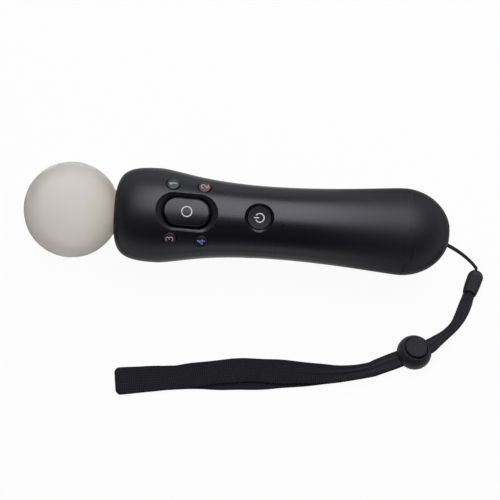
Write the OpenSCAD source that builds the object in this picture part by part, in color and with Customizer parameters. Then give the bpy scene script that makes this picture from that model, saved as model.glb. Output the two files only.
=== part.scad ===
// Motion controller wand with a glowing ball, front buttons, a rear trigger and a wrist strap.
// It lies on a table with the buttons up: ball towards -X, base towards +X, strap on the -Y side.
// The wand's own pieces are drawn about its axis, with x = 0 at the ball's centre and +z at the buttons.

/* [Body] */
// overall length from the ball's tip to the base
length = 200; // [180:1:230]
// ball diameter
ball_d = 45; // [40:0.5:48]
// how much narrower the widest head section is than the ball
head_step = 0.6; // [0:0.1:1.2]
// narrowest diameter of the grip
waist_d = 34.1; // [32:0.1:38]
// widest diameter of the base
base_d = 41; // [38:0.2:43]
// flat at the very end of the base
end_flat_d = 10.6; // [10:0.1:12]
// opening in the head that the ball's neck passes
rim_d = 21; // [19:0.2:23]
// distance from the ball's centre to the head's opening
rim_x = 20.5; // [20:0.1:21.5]
// distance from the ball's centre to the widest head section
head_x = 40.5; // [38:0.5:44]
// distance from the ball's centre to the narrowest grip section
waist_x = 93.5; // [88:0.5:100]
// length of the rounded base end
dome_l = 22; // [20:0.5:25]
// length of the end cap
cap_l = 20.3; // [18:0.1:21]
// wall thickness of the mouldings
wall = 2.2; // [1.8:0.1:2.6]
// thickness of the ball's skin
ball_wall = 1.8; // [1.2:0.1:2.4]

/* [Front buttons] */
// centre of the large oval button from the ball's centre
oval_x = 54.6; // [53:0.2:57]
// length of the oval button
oval_l = 21.4; // [18:0.2:22]
// width of the oval button
oval_w = 13; // [11:0.2:14]
// width of the sunk border at the oval button's ends
moat_end = 3.5; // [2.4:0.1:3.8]
// width of the sunk border along the oval button's sides
moat_side = 2.4; // [1.8:0.1:3]
// depth of the sunk border
moat_depth = 1.6; // [1:0.1:2.2]
// height of the oval button's crown over the body
oval_proud = 0.3; // [0:0.1:0.8]
// centre of the round action buttons' rows from the ball's centre
action_x = 54.35; // [52:0.1:56]
// spacing of the action buttons along the wand
action_pitch = 14.5; // [13:0.1:16]
// spacing of the action buttons across the wand
action_span = 25.4; // [24:0.2:27]
// diameter of an action button
action_d = 6; // [5:0.1:6.6]
// outward lean of an action button
action_lean = 25; // [20:1:30]
// height of an action button over the body
action_proud = 0.7; // [0.3:0.1:1.2]
// centre of the home button from the ball's centre
home_x = 88.5; // [86:0.2:90]
// diameter of the home button
home_d = 10.6; // [9:0.1:11.4]
// diameter of the sunk dish round the home button
home_dish_d = 13.6; // [12.6:0.1:14.4]
// depth of that dish
home_depth = 1.7; // [1.4:0.1:2]
// travel of the front buttons
press = 1; // [0.6:0.1:1.1]

/* [Side buttons] */
// centre of the side buttons from the ball's centre
side_x = 83.5; // [82:0.2:85]
// length of a side button
side_l = 8; // [6:0.2:9]
// width of a side button
side_w = 3.2; // [2.4:0.1:3.4]
// drop of the side buttons below the joint of the shells
side_drop = 3.5; // [3.4:0.1:4]
// travel of a side button
side_press = 0.5; // [0.3:0.05:0.6]

/* [Trigger] */
// distance of the trigger's pivot from the ball's centre
pivot_x = 47.5; // [46:0.1:49]
// length of the trigger from its pivot to its tip
trigger_l = 35; // [33:0.5:36]
// width of the trigger
trigger_w = 14.2; // [12:0.2:15]
// swing of the trigger in degrees
trigger_swing = 12; // [8:0.5:13]
// diameter of the pivot pin
pin_d = 2; // [1.6:0.1:2.4]

/* [Inside] */
// height of the main board's underside over the axis
board_z = 6; // [5:0.1:6.4]
// width of the main board
board_w = 23; // [20:0.2:23.4]
// thickness of the circuit boards
board_t = 1.2; // [0.8:0.1:1.6]
// battery diameter
cell_d = 18.4; // [16:0.2:18.6]
// gap between the main board and the battery
cell_lead = 2; // [1.6:0.1:3]
// gap between the battery and the motor
cell_tail = 2.5; // [2:0.1:3]
// vibration motor diameter
motor_d = 12; // [10:0.2:13]
// vibration motor length
motor_l = 13; // [11:0.5:13.5]
// case screw length under its head
screw_l = 10; // [8:0.5:11]

/* [Strap] */
// cord thickness
cord_d = 1.3; // [1:0.1:1.4]
// anchor bar diameter
bar_d = 3.3; // [3:0.1:3.6]
// length of the moulded sleeve
sleeve_l = 12.8; // [11:0.2:14]
// width of the moulded sleeve
sleeve_w = 7.4; // [7.2:0.1:8.6]
// thickness of the moulded sleeve
sleeve_t = 5; // [4.8:0.1:5.2]
// diameter of the strap lock's cup
lock_d = 16; // [15.4:0.2:17]
// diameter of the strap lock's button
lock_button_d = 10.8; // [10.6:0.1:11.6]
// travel of the strap lock's button
lock_press = 1.2; // [0.8:0.1:1.2]

/* [Fits] */
// gap round a button in its hole
button_gap = 0.3; // [0.2:0.05:0.5]
// gap between seated pieces
seat = 0.05; // [0.02:0.01:0.1]
// radial clearance of a running fit
run_fit = 0.05; // [0.02:0.01:0.1]
// gap at the seam of the end cap
seam = 0.15; // [0.1:0.05:0.3]

/* [Hidden] */
$fn = 64;

ball_r = ball_d / 2;
head_d = ball_d - head_step;
head_r = head_d / 2;
waist_r = waist_d / 2;
base_r = base_d / 2;
rim_r = rim_d / 2;
end_flat_r = end_flat_d / 2;
end_x = length - ball_r;
base_x = end_x - dome_l;
seam_x = end_x - cap_l;
far = 60;

// lengths of the outline's tangents at the rim, head, waist and base
rim_rise = 9;
rim_lean = 1.5;
head_lead = 15;
head_hold = 8.5;
waist_lead = 33;
waist_hold = 30;
base_lead = 6;
dome_axis = (end_x - base_x) / sqrt(1 - pow(end_flat_r / base_r, 2));

// the wand rests on its head and its base
pitch = atan2(head_r - base_r, base_x - head_x);
axis_lift = head_x * sin(pitch) + head_r * cos(pitch);
tip_shift = -(end_x * cos(pitch) + end_flat_r * sin(pitch) - ball_r) / 2;

function bezier(p, t) = pow(1 - t, 3) * p[0] + 3 * pow(1 - t, 2) * t * p[1]
                      + 3 * (1 - t) * t * t * p[2] + pow(t, 3) * p[3];
function curve(p, n) = [for (i = [0 : n - 1]) bezier(p, i / n)];
function dome_r(x, d) = (base_r - d) * sqrt(max(0, 1 - pow((x - base_x) / (dome_axis - d), 2)));

// the turned outline as [x, radius], moved in by d
function outline(d) = concat(
    curve([[rim_x + d, rim_r], [rim_x + d + rim_lean, rim_r + rim_rise - d],
           [head_x - head_lead + d, head_r - d], [head_x, head_r - d]], 9),
    curve([[head_x, head_r - d], [head_x + head_hold, head_r - d],
           [waist_x - waist_lead, waist_r - d], [waist_x, waist_r - d]], 11),
    curve([[waist_x, waist_r - d], [waist_x + waist_hold, waist_r - d],
           [base_x - base_lead, base_r - d], [base_x, base_r - d]], 8),
    [[base_x, base_r - d], [seam_x, dome_r(seam_x, d)]]);
function dome(d, x0, x1, n) = [for (i = [0 : n])
    let (x = base_x + (dome_axis - d)
             * sin(asin((x0 - base_x) / (dome_axis - d)) * (1 - i / n)
                 + asin(min(1, (x1 - base_x) / (dome_axis - d))) * i / n))
    [x, dome_r(x, d)]];
function backwards(p) = [for (i = [len(p) - 1 : -1 : 0]) p[i]];
function skin_r(x) = lookup(x, outline(0));
function inner_r(x) = lookup(x, outline(wall));
function between(p, x0, x1) = concat([[x0, 0], [x0, lookup(x0, p)]],
    [for (q = p) if (q.x > x0 + 0.01 && q.x < x1 - 0.01) q], [[x1, lookup(x1, p)], [x1, 0]]);
function skin_z(x, y) = sqrt(pow(skin_r(x), 2) - y * y);

module turned(p) {
    rotate([0, 90, 0])
        rotate_extrude()
            polygon([for (q = p) [q.y, q.x]]);
}
module half_turned(p, side) {
    rotate([0, 90, 0])
        rotate([0, 0, 90 * side])
            rotate_extrude(angle = 180)
                polygon([for (q = p) [q.y, q.x]]);
}
module shell_half(side) {
    half_turned(concat(outline(0), backwards(outline(wall))), side);
}
// the room inside the skin between two stations, moved in by d
module core_half(d, x0, x1, side) {
    half_turned(between(outline(d), x0, x1), side);
}
module pill(l, w) {
    square([l - w, w], center = true);
    translate([(l - w) / 2, 0])
        circle(d = w);
    translate([-(l - w) / 2, 0])
        circle(d = w);
}
module lying() {
    translate([tip_shift, 0, axis_lift])
        rotate([0, pitch, 0])
            children();
}
module rod(d, x0, x1) {
    translate([x0, 0, 0])
        rotate([0, 90, 0])
            cylinder(d = d, h = x1 - x0);
}

// ball, its collar and its light
neck_r = rim_r - 0.3;
bead_x = rim_x + wall + 0.5;
bead_l = 1.6;
collar_x = bead_x + bead_l + seat;
collar_flange_x = collar_x + 1.5;
collar_t = 1.6;
led_x = collar_flange_x + collar_t;
led_hole_r = 5.2;
led_board_step = 2;
neck_in_r = neck_r - ball_wall;

module light_sphere() {
    color("whitesmoke")
    difference() {
        union() {
            sphere(d = ball_d, $fn = 96);
            rod(2 * neck_r, ball_r * 0.8, bead_x + bead_l);
            rod(2 * (rim_r + 1.1), bead_x, bead_x + bead_l);
        }
        sphere(r = ball_r - ball_wall, $fn = 96);
        rod(2 * neck_in_r, ball_r * 0.7, far);
    }
}
module sphere_collar() {
    flange_r = inner_r(collar_flange_x) - 0.1;
    color("gainsboro")
    turned([[rim_x + 1, neck_in_r - 1.2], [rim_x + 1, neck_in_r - 0.2], [collar_x, neck_in_r - 0.2],
            [collar_x, rim_r + 0.9], [collar_flange_x, rim_r + 0.9], [collar_flange_x, flange_r],
            [led_x, flange_r], [led_x, led_hole_r], [collar_x, led_hole_r],
            [collar_x, neck_in_r - 1.2]]);
}
module led_board() {
    color("darkgreen")
    rod(rim_d - led_board_step, led_x, led_x + board_t);
}
module rgb_led() {
    color("white")
    translate([led_x, 0, 0]) {
        translate([-1.4, -2.5, -2.5])
            cube([1.4, 5, 5]);
        intersection() {
            translate([-1.2, 0, 0])
                sphere(r = 1.9);
            translate([-4, -3, -3])
                cube([2.7, 6, 6]);
        }
    }
}

// levels of the boards and the rubber mat
frame_t = 1.6;
frame_z = board_z - frame_t;
board_top = board_z + board_t;
board_x0 = led_x + board_t + 1;
board_x1 = home_x + 4.5;
mat_t = 0.8;
dome_rad = 2.4;
dome_z = board_top + 0.2;
dome_top = dome_z + dome_rad;
tip_r = 1.2;
boss_x = [board_x0 + 4, 77];

// rows and sides of the four action buttons
action_at = [[-1, 1], [1, 1], [-1, -1], [1, -1]];
action_y = action_span / 2;
guide_depth = 3;
guide_r = action_d / 2 + 1.3;
flange_r = action_d / 2 + 1;
flange_t = 0.8;
function action_row(i) = action_x + action_at[i][0] * action_pitch / 2;
function action_drop(i) = (skin_z(action_row(i), action_y) - dome_z) / cos(action_lean);
function action_foot(i) = action_at[i][1] * (action_y - action_drop(i) * sin(action_lean));

module at_action(i) {
    translate([action_row(i), action_at[i][1] * action_y, skin_z(action_row(i), action_y)])
        rotate([-action_at[i][1] * action_lean, 0, 0])
            children();
}
module action_button(i) {
    color("dimgray")
    at_action(i) {
        intersection() {
            translate([0, 0, -guide_depth - seat - flange_t])
                cylinder(d = action_d, h = guide_depth + seat + flange_t + action_proud);
            translate([0, 0, action_proud - 7])
                sphere(r = 7);
        }
        translate([0, 0, -guide_depth - seat - flange_t])
            cylinder(r = flange_r, h = flange_t);
        translate([0, 0, dome_rad + seat - action_drop(i)])
            cylinder(d = 3, h = action_drop(i) - dome_rad - guide_depth - flange_t - seat);
    }
}

// oval button in its sunk border
moat_l = oval_l + 2 * (button_gap + moat_end);
moat_wide = oval_w + 2 * (button_gap + moat_side);
tub_floor = 1.2;
oval_half = moat_l / 2 + tub_floor;
oval_foot = dome_top + 1.2;

module oval_prism(l, w, z0, z1) {
    translate([oval_x, 0, z0])
        linear_extrude(height = z1 - z0)
            pill(l, w);
}
module oval_button() {
    color("dimgray")
    difference() {
        union() {
            intersection() {
                oval_prism(oval_l, oval_w, oval_foot, far);
                core_half(-oval_proud, oval_x - oval_half, oval_x + oval_half, 1);
            }
            intersection() {
                oval_prism(oval_l + 1.8, oval_w + 1.8, oval_foot, far);
                core_half(moat_depth + tub_floor + seat, oval_x - oval_half, oval_x + oval_half, 1);
            }
            translate([oval_x, 0, dome_top + seat])
                cylinder(d = 5, h = oval_foot - dome_top);
        }
        difference() {
            oval_prism(oval_l - 3.6, oval_w - 3.6, oval_foot - 1, oval_foot + 2.6);
            translate([oval_x, 0, 0])
                cylinder(d = 5, h = far);
        }
    }
}

// home button in its dish
home_top = skin_r(home_x) - home_depth + 0.5;
home_hole_r = home_d / 2 + button_gap;
home_guide_z = skin_r(home_x) - home_depth - 2.4;
home_dish = 0.5;
home_dish_rad = (pow(home_d / 2, 2) + home_dish * home_dish) / (2 * home_dish);

module home_button() {
    color("dimgray")
    translate([home_x, 0, 0])
    difference() {
        union() {
            translate([0, 0, home_guide_z - seat - flange_t])
                cylinder(d = home_d, h = home_top - home_guide_z + seat + flange_t);
            translate([0, 0, home_guide_z - seat - flange_t])
                cylinder(d = home_d + 2, h = flange_t);
            translate([0, 0, dome_top + seat])
                cylinder(d = 4, h = home_guide_z - dome_top - flange_t);
        }
        translate([0, 0, home_top + home_dish_rad - home_dish])
            sphere(r = home_dish_rad);
    }
}

module front_shell() {
    color([0.16, 0.16, 0.18])
    difference() {
        union() {
            shell_half(1);
            intersection() {
                core_half(0.8, head_x - 10, home_x + 14, 1);
                union() {
                    difference() {
                        oval_prism(moat_l + 2 * tub_floor, moat_wide + 2 * tub_floor, 1, far);
                        core_half(moat_depth + tub_floor, oval_x - oval_half - 1,
                                  oval_x + oval_half + 1, 1);
                    }
                    for (i = [0 : 3])
                        at_action(i)
                            translate([0, 0, -guide_depth])
                                cylinder(r = guide_r, h = guide_depth + 2);
                    translate([home_x, 0, home_guide_z])
                        cylinder(d = home_dish_d + 2.4, h = 8);
                    for (x = boss_x)
                        translate([x, 0, board_top + seat])
                            cylinder(d = 5.2, h = far);
                }
            }
        }
        difference() {
            oval_prism(moat_l, moat_wide, 1, far);
            core_half(moat_depth, oval_x - oval_half - 1, oval_x + oval_half + 1, 1);
        }
        oval_prism(oval_l + 2 * button_gap, oval_w + 2 * button_gap, 1, far);
        for (i = [0 : 3])
            at_action(i) {
                translate([0, 0, -guide_depth - 1])
                    cylinder(d = action_d + 2 * button_gap, h = guide_depth + 6);
                translate([0, 0, -guide_depth - 5])
                    cylinder(r = flange_r + button_gap, h = 5);
            }
        translate([home_x, 0, 1])
            cylinder(r = home_hole_r, h = far);
        translate([home_x, 0, skin_r(home_x) - home_depth])
            cylinder(d = home_dish_d, h = far);
        for (x = boss_x)
            translate([x, 0, board_top - 1])
                cylinder(d = 1.6, h = 6.5);
    }
}

// trigger outline, measured from the table line up
pivot_rise = 6.9;
pivot_z = -head_r + pivot_rise;
trigger_end = pivot_x + trigger_l;
hub_r = 3.1;
trigger_slot_gap = 0.4;
heel_l = 4;
coil_r = 1.6;
coil_wire = 0.25;
coil_w = 4;
coil_leg = 8;
spring_w = coil_w + 2 * coil_wire + 0.7;
spring_room = coil_r + coil_wire + 0.45;
pad_lead = 19.5;
pad_x = pivot_x + pad_lead;
pad_r = 3;
pad_h = 2.5;
lever_top = -0.5;
pad_reach = pivot_z + (pad_x + pad_r - pivot_x) * sin(trigger_swing) + lever_top * cos(trigger_swing) + 0.15;

module trigger_side() {
    table = -head_r;
    finger_dip = 4;
    finger_lead = 12;
    tip_lift = 1.5;
    tip_round = 2.6;
    heel = table + 1.1;
    tip_top = table + 4.4;
    back = pivot_z + lever_top;
    back_run = 8;
    polygon(concat([[pivot_x - hub_r - 0.3, heel + 1.7]],
        curve([[pivot_x - hub_r + 0.7, heel], [pivot_x + finger_lead - 2, table + finger_dip],
               [trigger_end - finger_lead, table + finger_dip - 0.6],
               [trigger_end - tip_round, table + tip_lift]], 10),
        curve([[trigger_end - tip_round, table + tip_lift], [trigger_end - 0.4, table + tip_lift - 0.3],
               [trigger_end + 0.4, table + tip_lift + 1.1], [trigger_end - 0.6, tip_top]], 6),
        curve([[trigger_end - 0.6, tip_top], [trigger_end - 1.2, back],
               [trigger_end - back_run / 2, back], [trigger_end - back_run, back]], 5),
        [[trigger_end - back_run, back], [pivot_x + back_run, back],
         [pivot_x, pivot_z + hub_r], [pivot_x - hub_r, pivot_z]]));
    translate([pivot_x, pivot_z])
        circle(r = hub_r);
}
// plan of the trigger, widened by g all round: square to the head, round to the tip
module trigger_plan(g) {
    corner = 2.5 + g;
    half = trigger_w / 2 + g;
    x0 = pivot_x - heel_l - g;
    round_x = trigger_end - trigger_w / 2;
    translate([x0 + corner, -half])
        square([round_x - x0 - corner, 2 * half]);
    translate([x0, corner - half])
        square([2 * corner, 2 * (half - corner)]);
    for (s = [-1, 1])
        translate([x0 + corner, s * (half - corner)])
            circle(r = corner);
    translate([round_x, 0])
        circle(r = half);
}
module trigger() {
    color([0.13, 0.13, 0.15])
    difference() {
        intersection() {
            rotate([90, 0, 0])
                linear_extrude(height = trigger_w, center = true)
                    trigger_side();
            translate([0, 0, -far])
                linear_extrude(height = far)
                    trigger_plan(0);
        }
        translate([pivot_x, 0, pivot_z])
            rotate([90, 0, 0])
                cylinder(d = pin_d + 2 * run_fit, h = far, center = true);
        translate([pivot_x - heel_l, -spring_w / 2, pivot_z - spring_room])
            cube([heel_l + spring_room + 0.9, spring_w, far]);
        translate([pivot_x, -spring_w / 2, pivot_z + 0.1])
            cube([coil_leg + 2, spring_w, far]);
    }
}
ear_in = trigger_w / 2 + trigger_slot_gap + 0.2;
ear_t = 2;
pin_l = 2 * (ear_in + ear_t) - 0.6;

module trigger_pin() {
    color("silver")
    translate([pivot_x, 0, pivot_z])
        rotate([90, 0, 0])
            cylinder(d = pin_d, h = pin_l, center = true);
}

// helical wire of mean radius r from angle a0 to a1, with straight ends of length leg
module coil(r, wire_r, a0, a1, rise, leg, steps) {
    sides = 6;
    function at(a, z, run) = [r * cos(a) - run * sin(a), r * sin(a) + run * cos(a), z];
    mid = concat(leg > 0 ? [[a0, 0, -leg]] : [],
                 [for (i = [0 : steps]) [a0 + (a1 - a0) * i / steps, rise * i / steps, 0]],
                 leg > 0 ? [[a1, rise, leg]] : []);
    n = len(mid);
    pts = [for (m = mid, k = [0 : sides - 1])
        at(m[0], m[1], m[2]) + wire_r * cos(360 * k / sides) * [cos(m[0]), sin(m[0]), 0]
                             + wire_r * sin(360 * k / sides) * [0, 0, 1]];
    polyhedron(pts, concat(
        [[for (k = [0 : sides - 1]) k]],
        [for (i = [0 : n - 2], k = [0 : sides - 1])
            let (a = i * sides + k, b = i * sides + (k + 1) % sides)
            [b, a, a + sides, b + sides]],
        [[for (k = [sides - 1 : -1 : 0]) (n - 1) * sides + k]]), convexity = 10);
}
// the spring's first leg leaves along the lever, and its last one leans on the frame
leg_angle = 82;
coil_turns = 3.6333;
module trigger_spring() {
    color("silver")
    translate([pivot_x, coil_w / 2, pivot_z])
        rotate([90, 0, 0])
            coil(coil_r, coil_wire, leg_angle, leg_angle + coil_turns * 360, coil_w, coil_leg, 44);
}
module trigger_pad() {
    color([0.1, 0.1, 0.1])
    translate([pad_x, 0, pad_reach])
        cylinder(r = pad_r, h = pad_h);
}

// side buttons, select on +Y and start on -Y
side_y = sqrt(pow(skin_r(side_x), 2) - side_drop * side_drop);
side_guide_y = side_y - 3.3;
side_foot_y = side_guide_y - seat - flange_t;
switch_tip_y = side_foot_y - 0.3 - side_press - seat;
tip_l = 2.2;
tip_w = 1.8;
switch_l = 5;
switch_w = 4.2;
switch_h = 3.4;
bracket_t = 1.4;
bracket_l = 8;
bracket_y = switch_tip_y - switch_h;
module side_prism(l, w, y0, y1, s) {
    translate([side_x, s * (s > 0 ? y1 : y0), -side_drop])
        rotate([90, 0, 0])
            linear_extrude(height = y1 - y0)
                pill(l, w);
}
module side_button(s) {
    color("dimgray") {
        side_prism(side_l, side_w, side_foot_y, side_y + 0.4, s);
        side_prism(side_l + 1.6, side_w + 1.6, side_foot_y, side_foot_y + flange_t, s);
        side_prism(tip_l, tip_w, side_foot_y - 0.3, side_foot_y + 0.1, s);
    }
}
module side_switches() {
    color("gray")
    for (s = [-1, 1]) {
        side_prism(switch_l, switch_w, bracket_y + bracket_t, switch_tip_y - 0.5, s);
        side_prism(tip_l, tip_w, switch_tip_y - 0.6, switch_tip_y, s);
    }
}

// case screws through the rear shell into the frame
screw_at = [[head_x - 4.5, 9.5], [head_x - 4.5, -9.5], [side_x + 5.5, 0], [base_x - 9.5, 0]];
screw_sink = 3;
screw_grip = 5;
screw_d = 2.2;
screw_head_d = 4.2;
screw_head_h = 1.6;
boss_d = 6;
function screw_seat(p) = -skin_z(p.x, p.y) + screw_sink;

module case_screw() {
    translate([0, 0, -screw_head_h])
        cylinder(d = screw_head_d, h = screw_head_h);
    cylinder(d = screw_d, h = screw_l);
}
module case_screws() {
    color("silver")
    for (p = screw_at)
        translate([p.x, p.y, screw_seat(p)])
            difference() {
                case_screw();
                for (a = [0, 90])
                    rotate([0, 0, a])
                        translate([-1.3, -0.3, -screw_head_h - 1])
                            cube([2.6, 0.6, 1.9]);
            }
}
module rear_shell() {
    color([0.16, 0.16, 0.18])
    difference() {
        union() {
            shell_half(-1);
            intersection() {
                core_half(0.8, head_x - 12, base_x - 1, -1);
                union() {
                    for (s = [-1, 1]) {
                        translate([pivot_x - 3, s * (ear_in + ear_t / 2) - ear_t / 2, -far])
                            cube([6, ear_t, far + pivot_z + 2.6]);
                        side_prism(side_l + 3, side_w + 3, side_guide_y, side_y + 2, s);
                    }
                    for (p = screw_at)
                        translate([p.x, p.y, -far])
                            cylinder(d = boss_d, h = far + screw_seat(p) + screw_grip);
                }
            }
        }
        translate([0, 0, -far])
            linear_extrude(height = far + pivot_z + hub_r + 1)
                trigger_plan(trigger_slot_gap);
        translate([pivot_x, 0, pivot_z])
            rotate([90, 0, 0])
                cylinder(d = pin_d + 0.04, h = 2 * (ear_in + ear_t) - 0.4, center = true);
        for (s = [-1, 1])
            side_prism(side_l + 2 * button_gap, side_w + 2 * button_gap, side_guide_y - 2, side_y + 4, s);
        for (p = screw_at) {
            translate([p.x, p.y, -far])
                cylinder(d = screw_head_d + 0.6, h = far + screw_seat(p));
            translate([p.x, p.y, -far])
                cylinder(d = screw_d + 0.2, h = far);
        }
    }
}

// frame that carries the boards, the battery and the motor
port_depth = 11.4;
port_x = end_x - port_depth;
weight_l = 4;
weight_gap = 1;
shaft_end = 0.4;
board_room = 1.2;
motor_x = port_x - board_room - shaft_end - weight_l - weight_gap - motor_l;
cell_x = board_x1 + cell_lead;
cell_l = motor_x - cell_tail - cell_x;
channel_r = cell_d / 2 + 1.7;
frame_end = motor_x + motor_l;
rib_x = pivot_x + 7.2;
module inner_frame() {
    color("dimgray")
    difference() {
        union() {
            translate([board_x0, -board_w / 2, frame_z])
                cube([board_x1 - board_x0, board_w, frame_t]);
            translate([cell_x - 2.4, -channel_r + 0.6, -8])
                cube([2.2, 2 * channel_r - 1.2, 8 + board_z]);
            translate([board_x1 - 1, -6, frame_z])
                cube([cell_x - board_x1, 12, frame_t]);
            half_turned([[cell_x - 1.6, 4], [cell_x - 1.6, channel_r], [frame_end, channel_r],
                         [frame_end, motor_d / 2 + seat], [motor_x - seat, motor_d / 2 + seat],
                         [motor_x - seat, 3], [cell_x + cell_l + seat, 3],
                         [cell_x + cell_l + seat, cell_d / 2 + seat],
                         [cell_x - seat, cell_d / 2 + seat], [cell_x - seat, 4]], -1);
            for (p = screw_at)
                translate([p.x, p.y, screw_seat(p) + screw_grip + seat])
                    cylinder(d = boss_d, h = (p.x > cell_x ? -cell_d / 2 - 0.6 : frame_z + 0.4)
                                             - screw_seat(p) - screw_grip - seat);
            translate([pad_x - pad_r, -pad_r - 1, pad_reach + pad_h])
                cube([2 * pad_r, 2 * (pad_r + 1), frame_z + 0.5 - pad_reach - pad_h]);
            translate([rib_x - 1.5, -2.2, pivot_z + 4.3])
                cube([3, 4.4, frame_z - pivot_z - 4]);
            for (s = [-1, 1])
                translate([side_x - bracket_l / 2, s * (bracket_y + bracket_t / 2) - bracket_t / 2,
                           -side_drop - bracket_l / 2 + 0.6])
                    cube([bracket_l, bracket_t, frame_z + side_drop + bracket_l / 2 - 0.4]);
        }
        for (p = screw_at)
            translate([p.x, p.y, screw_seat(p)])
                cylinder(d = screw_d, h = screw_l + 0.2);
        for (x = boss_x)
            translate([x, 0, frame_z - 1])
                cylinder(d = 2.2, h = far);
    }
}
module main_board() {
    color("darkgreen")
    difference() {
        translate([board_x0, -board_w / 2, board_z])
            cube([board_x1 - board_x0, board_w, board_t]);
        for (x = boss_x)
            translate([x, 0, board_z - 1])
                cylinder(d = 2.2, h = 4);
    }
}
chip_x = action_x + action_pitch / 2 + 8.4;
module board_chips() {
    color([0.08, 0.08, 0.09]) {
        translate([chip_x, -8, board_top])
            cube([4.2, 6.5, 1]);
        translate([chip_x, 1.5, board_top])
            cube([4.2, 6.5, 0.9]);
        translate([chip_x + 5.5, 4, board_top])
            cube([5, 4, 0.8]);
        translate([chip_x + 5.5, -8, board_top])
            cube([5, 4, 0.8]);
    }
}
module button_mat() {
    mat_x = action_x - action_pitch / 2 - 5;
    color([0.25, 0.25, 0.27])
    union() {
        difference() {
            translate([mat_x, -board_w / 2 + 0.5, board_top])
                cube([board_x1 - mat_x, board_w - 1, mat_t]);
            translate([chip_x - 0.5, -8.6, board_top - 1])
                cube([home_x - chip_x - 5, 17.2, 4]);
        }
        for (i = [0 : 3]) {
            translate([action_row(i), action_foot(i), board_top])
                cylinder(r = dome_rad, h = mat_t + 0.6);
            at_action(i)
                translate([0, 0, 0.5 - action_drop(i)])
                    cylinder(r = tip_r, h = dome_rad - 0.5);
        }
        for (x = [oval_x, home_x]) {
            translate([x, 0, board_top])
                cylinder(r = dome_rad, h = mat_t + 0.6);
            translate([x, 0, board_top])
                cylinder(r = tip_r, h = dome_top - board_top);
        }
    }
}
module board_screws() {
    color("silver")
    for (x = boss_x)
        translate([x, 0, frame_z]) {
            translate([0, 0, -1.2])
                cylinder(d = 3.6, h = 1.2);
            cylinder(d = 1.6, h = frame_t + board_t + 5);
        }
}
module battery() {
    color("steelblue")
    turned([[cell_x, 0], [cell_x, cell_d / 2 - 1], [cell_x + 1, cell_d / 2],
            [cell_x + cell_l - 1, cell_d / 2], [cell_x + cell_l, cell_d / 2 - 1],
            [cell_x + cell_l, 0]]);
}
shaft_r = 0.95;
shaft_in = 2.5;
nose_r = 2.6;
nose_l = 0.6;
module rumble_motor() {
    color("silver")
    difference() {
        turned([[motor_x, 0], [motor_x, motor_d / 2 - 0.5], [motor_x + 0.5, motor_d / 2],
                [frame_end - 0.5, motor_d / 2], [frame_end, motor_d / 2 - 0.5],
                [frame_end, nose_r], [frame_end + nose_l, nose_r], [frame_end + nose_l, 0]]);
        rod(2 * (shaft_r + run_fit), frame_end - shaft_in, frame_end + 1);
    }
}
module rumble_weight() {
    weight_x = frame_end + weight_gap;
    color("goldenrod") {
        intersection() {
            rod(motor_d - 1.2, weight_x, weight_x + weight_l);
            translate([weight_x - 1, -far, -far])
                cube([weight_l + 2, 2 * far, far + 0.8]);
        }
        rod(4 * shaft_r, weight_x, weight_x + weight_l);
        rod(2 * shaft_r, frame_end - shaft_in + seat, weight_x + weight_l + shaft_end);
    }
}

// connectors in the end cap
port_face = port_x + board_t;
usb_w = 7.7;
usb_h = 3.9;
ext_w = 12;
ext_h = 4.4;
ext_z = -6.7;
contact_y = 8.6;
contact_d = 2.4;
contact_sink = 0.3;
block_top = -10.3;
port_board_d = 24;
module connector_board() {
    color("darkgreen")
    intersection() {
        rod(port_board_d, port_x, port_face);
        translate([port_x - 1, -far, block_top + 0.6])
            cube([4, 2 * far, far]);
    }
}
module usb_socket() {
    usb_l = end_x - 0.6 - port_face;
    color("silver")
    translate([port_face, 0, 0])
    difference() {
        translate([0, -usb_w / 2, -usb_h / 2])
            cube([usb_l, usb_w, usb_h]);
        difference() {
            translate([usb_l - 6.5, -usb_w / 2 + 0.4, -usb_h / 2 + 0.4])
                cube([7, usb_w - 0.8, usb_h - 0.8]);
            translate([0, -2.5, -0.1])
                cube([usb_l - 1, 5, 0.9]);
        }
    }
}
ext_face = end_x - 4.2;
module ext_connector() {
    color([0.12, 0.12, 0.13])
    translate([port_face, -ext_w / 2, ext_z - ext_h / 2])
        cube([ext_face - port_face, ext_w, ext_h]);
}
module ext_contacts() {
    color("gold")
    for (k = [-2.5 : 2.5])
        translate([ext_face, k * 1.8 - 0.5, ext_z - 1.5])
            cube([0.5, 1, 3]);
}
module charge_contacts() {
    rim = contact_y + contact_d / 2;
    color("gold")
    for (s = [-1, 1])
        translate([0, s * contact_y, 0])
            rod(contact_d, port_face, base_x + dome_axis * sqrt(1 - pow(rim / base_r, 2)) - contact_sink);
}
module flex_ribbon() {
    top = cell_d / 2 + seat;
    ribbon_t = 0.3;
    lap = board_x1 - 1.5;
    side = [[lap, board_top + mat_t + seat], [board_x1 + 0.4, board_top + mat_t + seat],
            [cell_x, top], [cell_x + cell_l, top], [port_x - 3, top], [port_x - seat - ribbon_t, top - 3],
            [port_x - seat - ribbon_t, 2]];
    color("peru")
    rotate([90, 0, 0])
        linear_extrude(height = 7, center = true)
            polygon(concat(side, [[port_x - seat, 2], [port_x - seat, top - 3 + 0.1],
                [port_x - 2.9, top + ribbon_t], [cell_x + cell_l, top + ribbon_t], [cell_x, top + ribbon_t],
                [board_x1 + 0.4, board_top + mat_t + seat + ribbon_t],
                [lap, board_top + mat_t + seat + ribbon_t]]));
}

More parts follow.
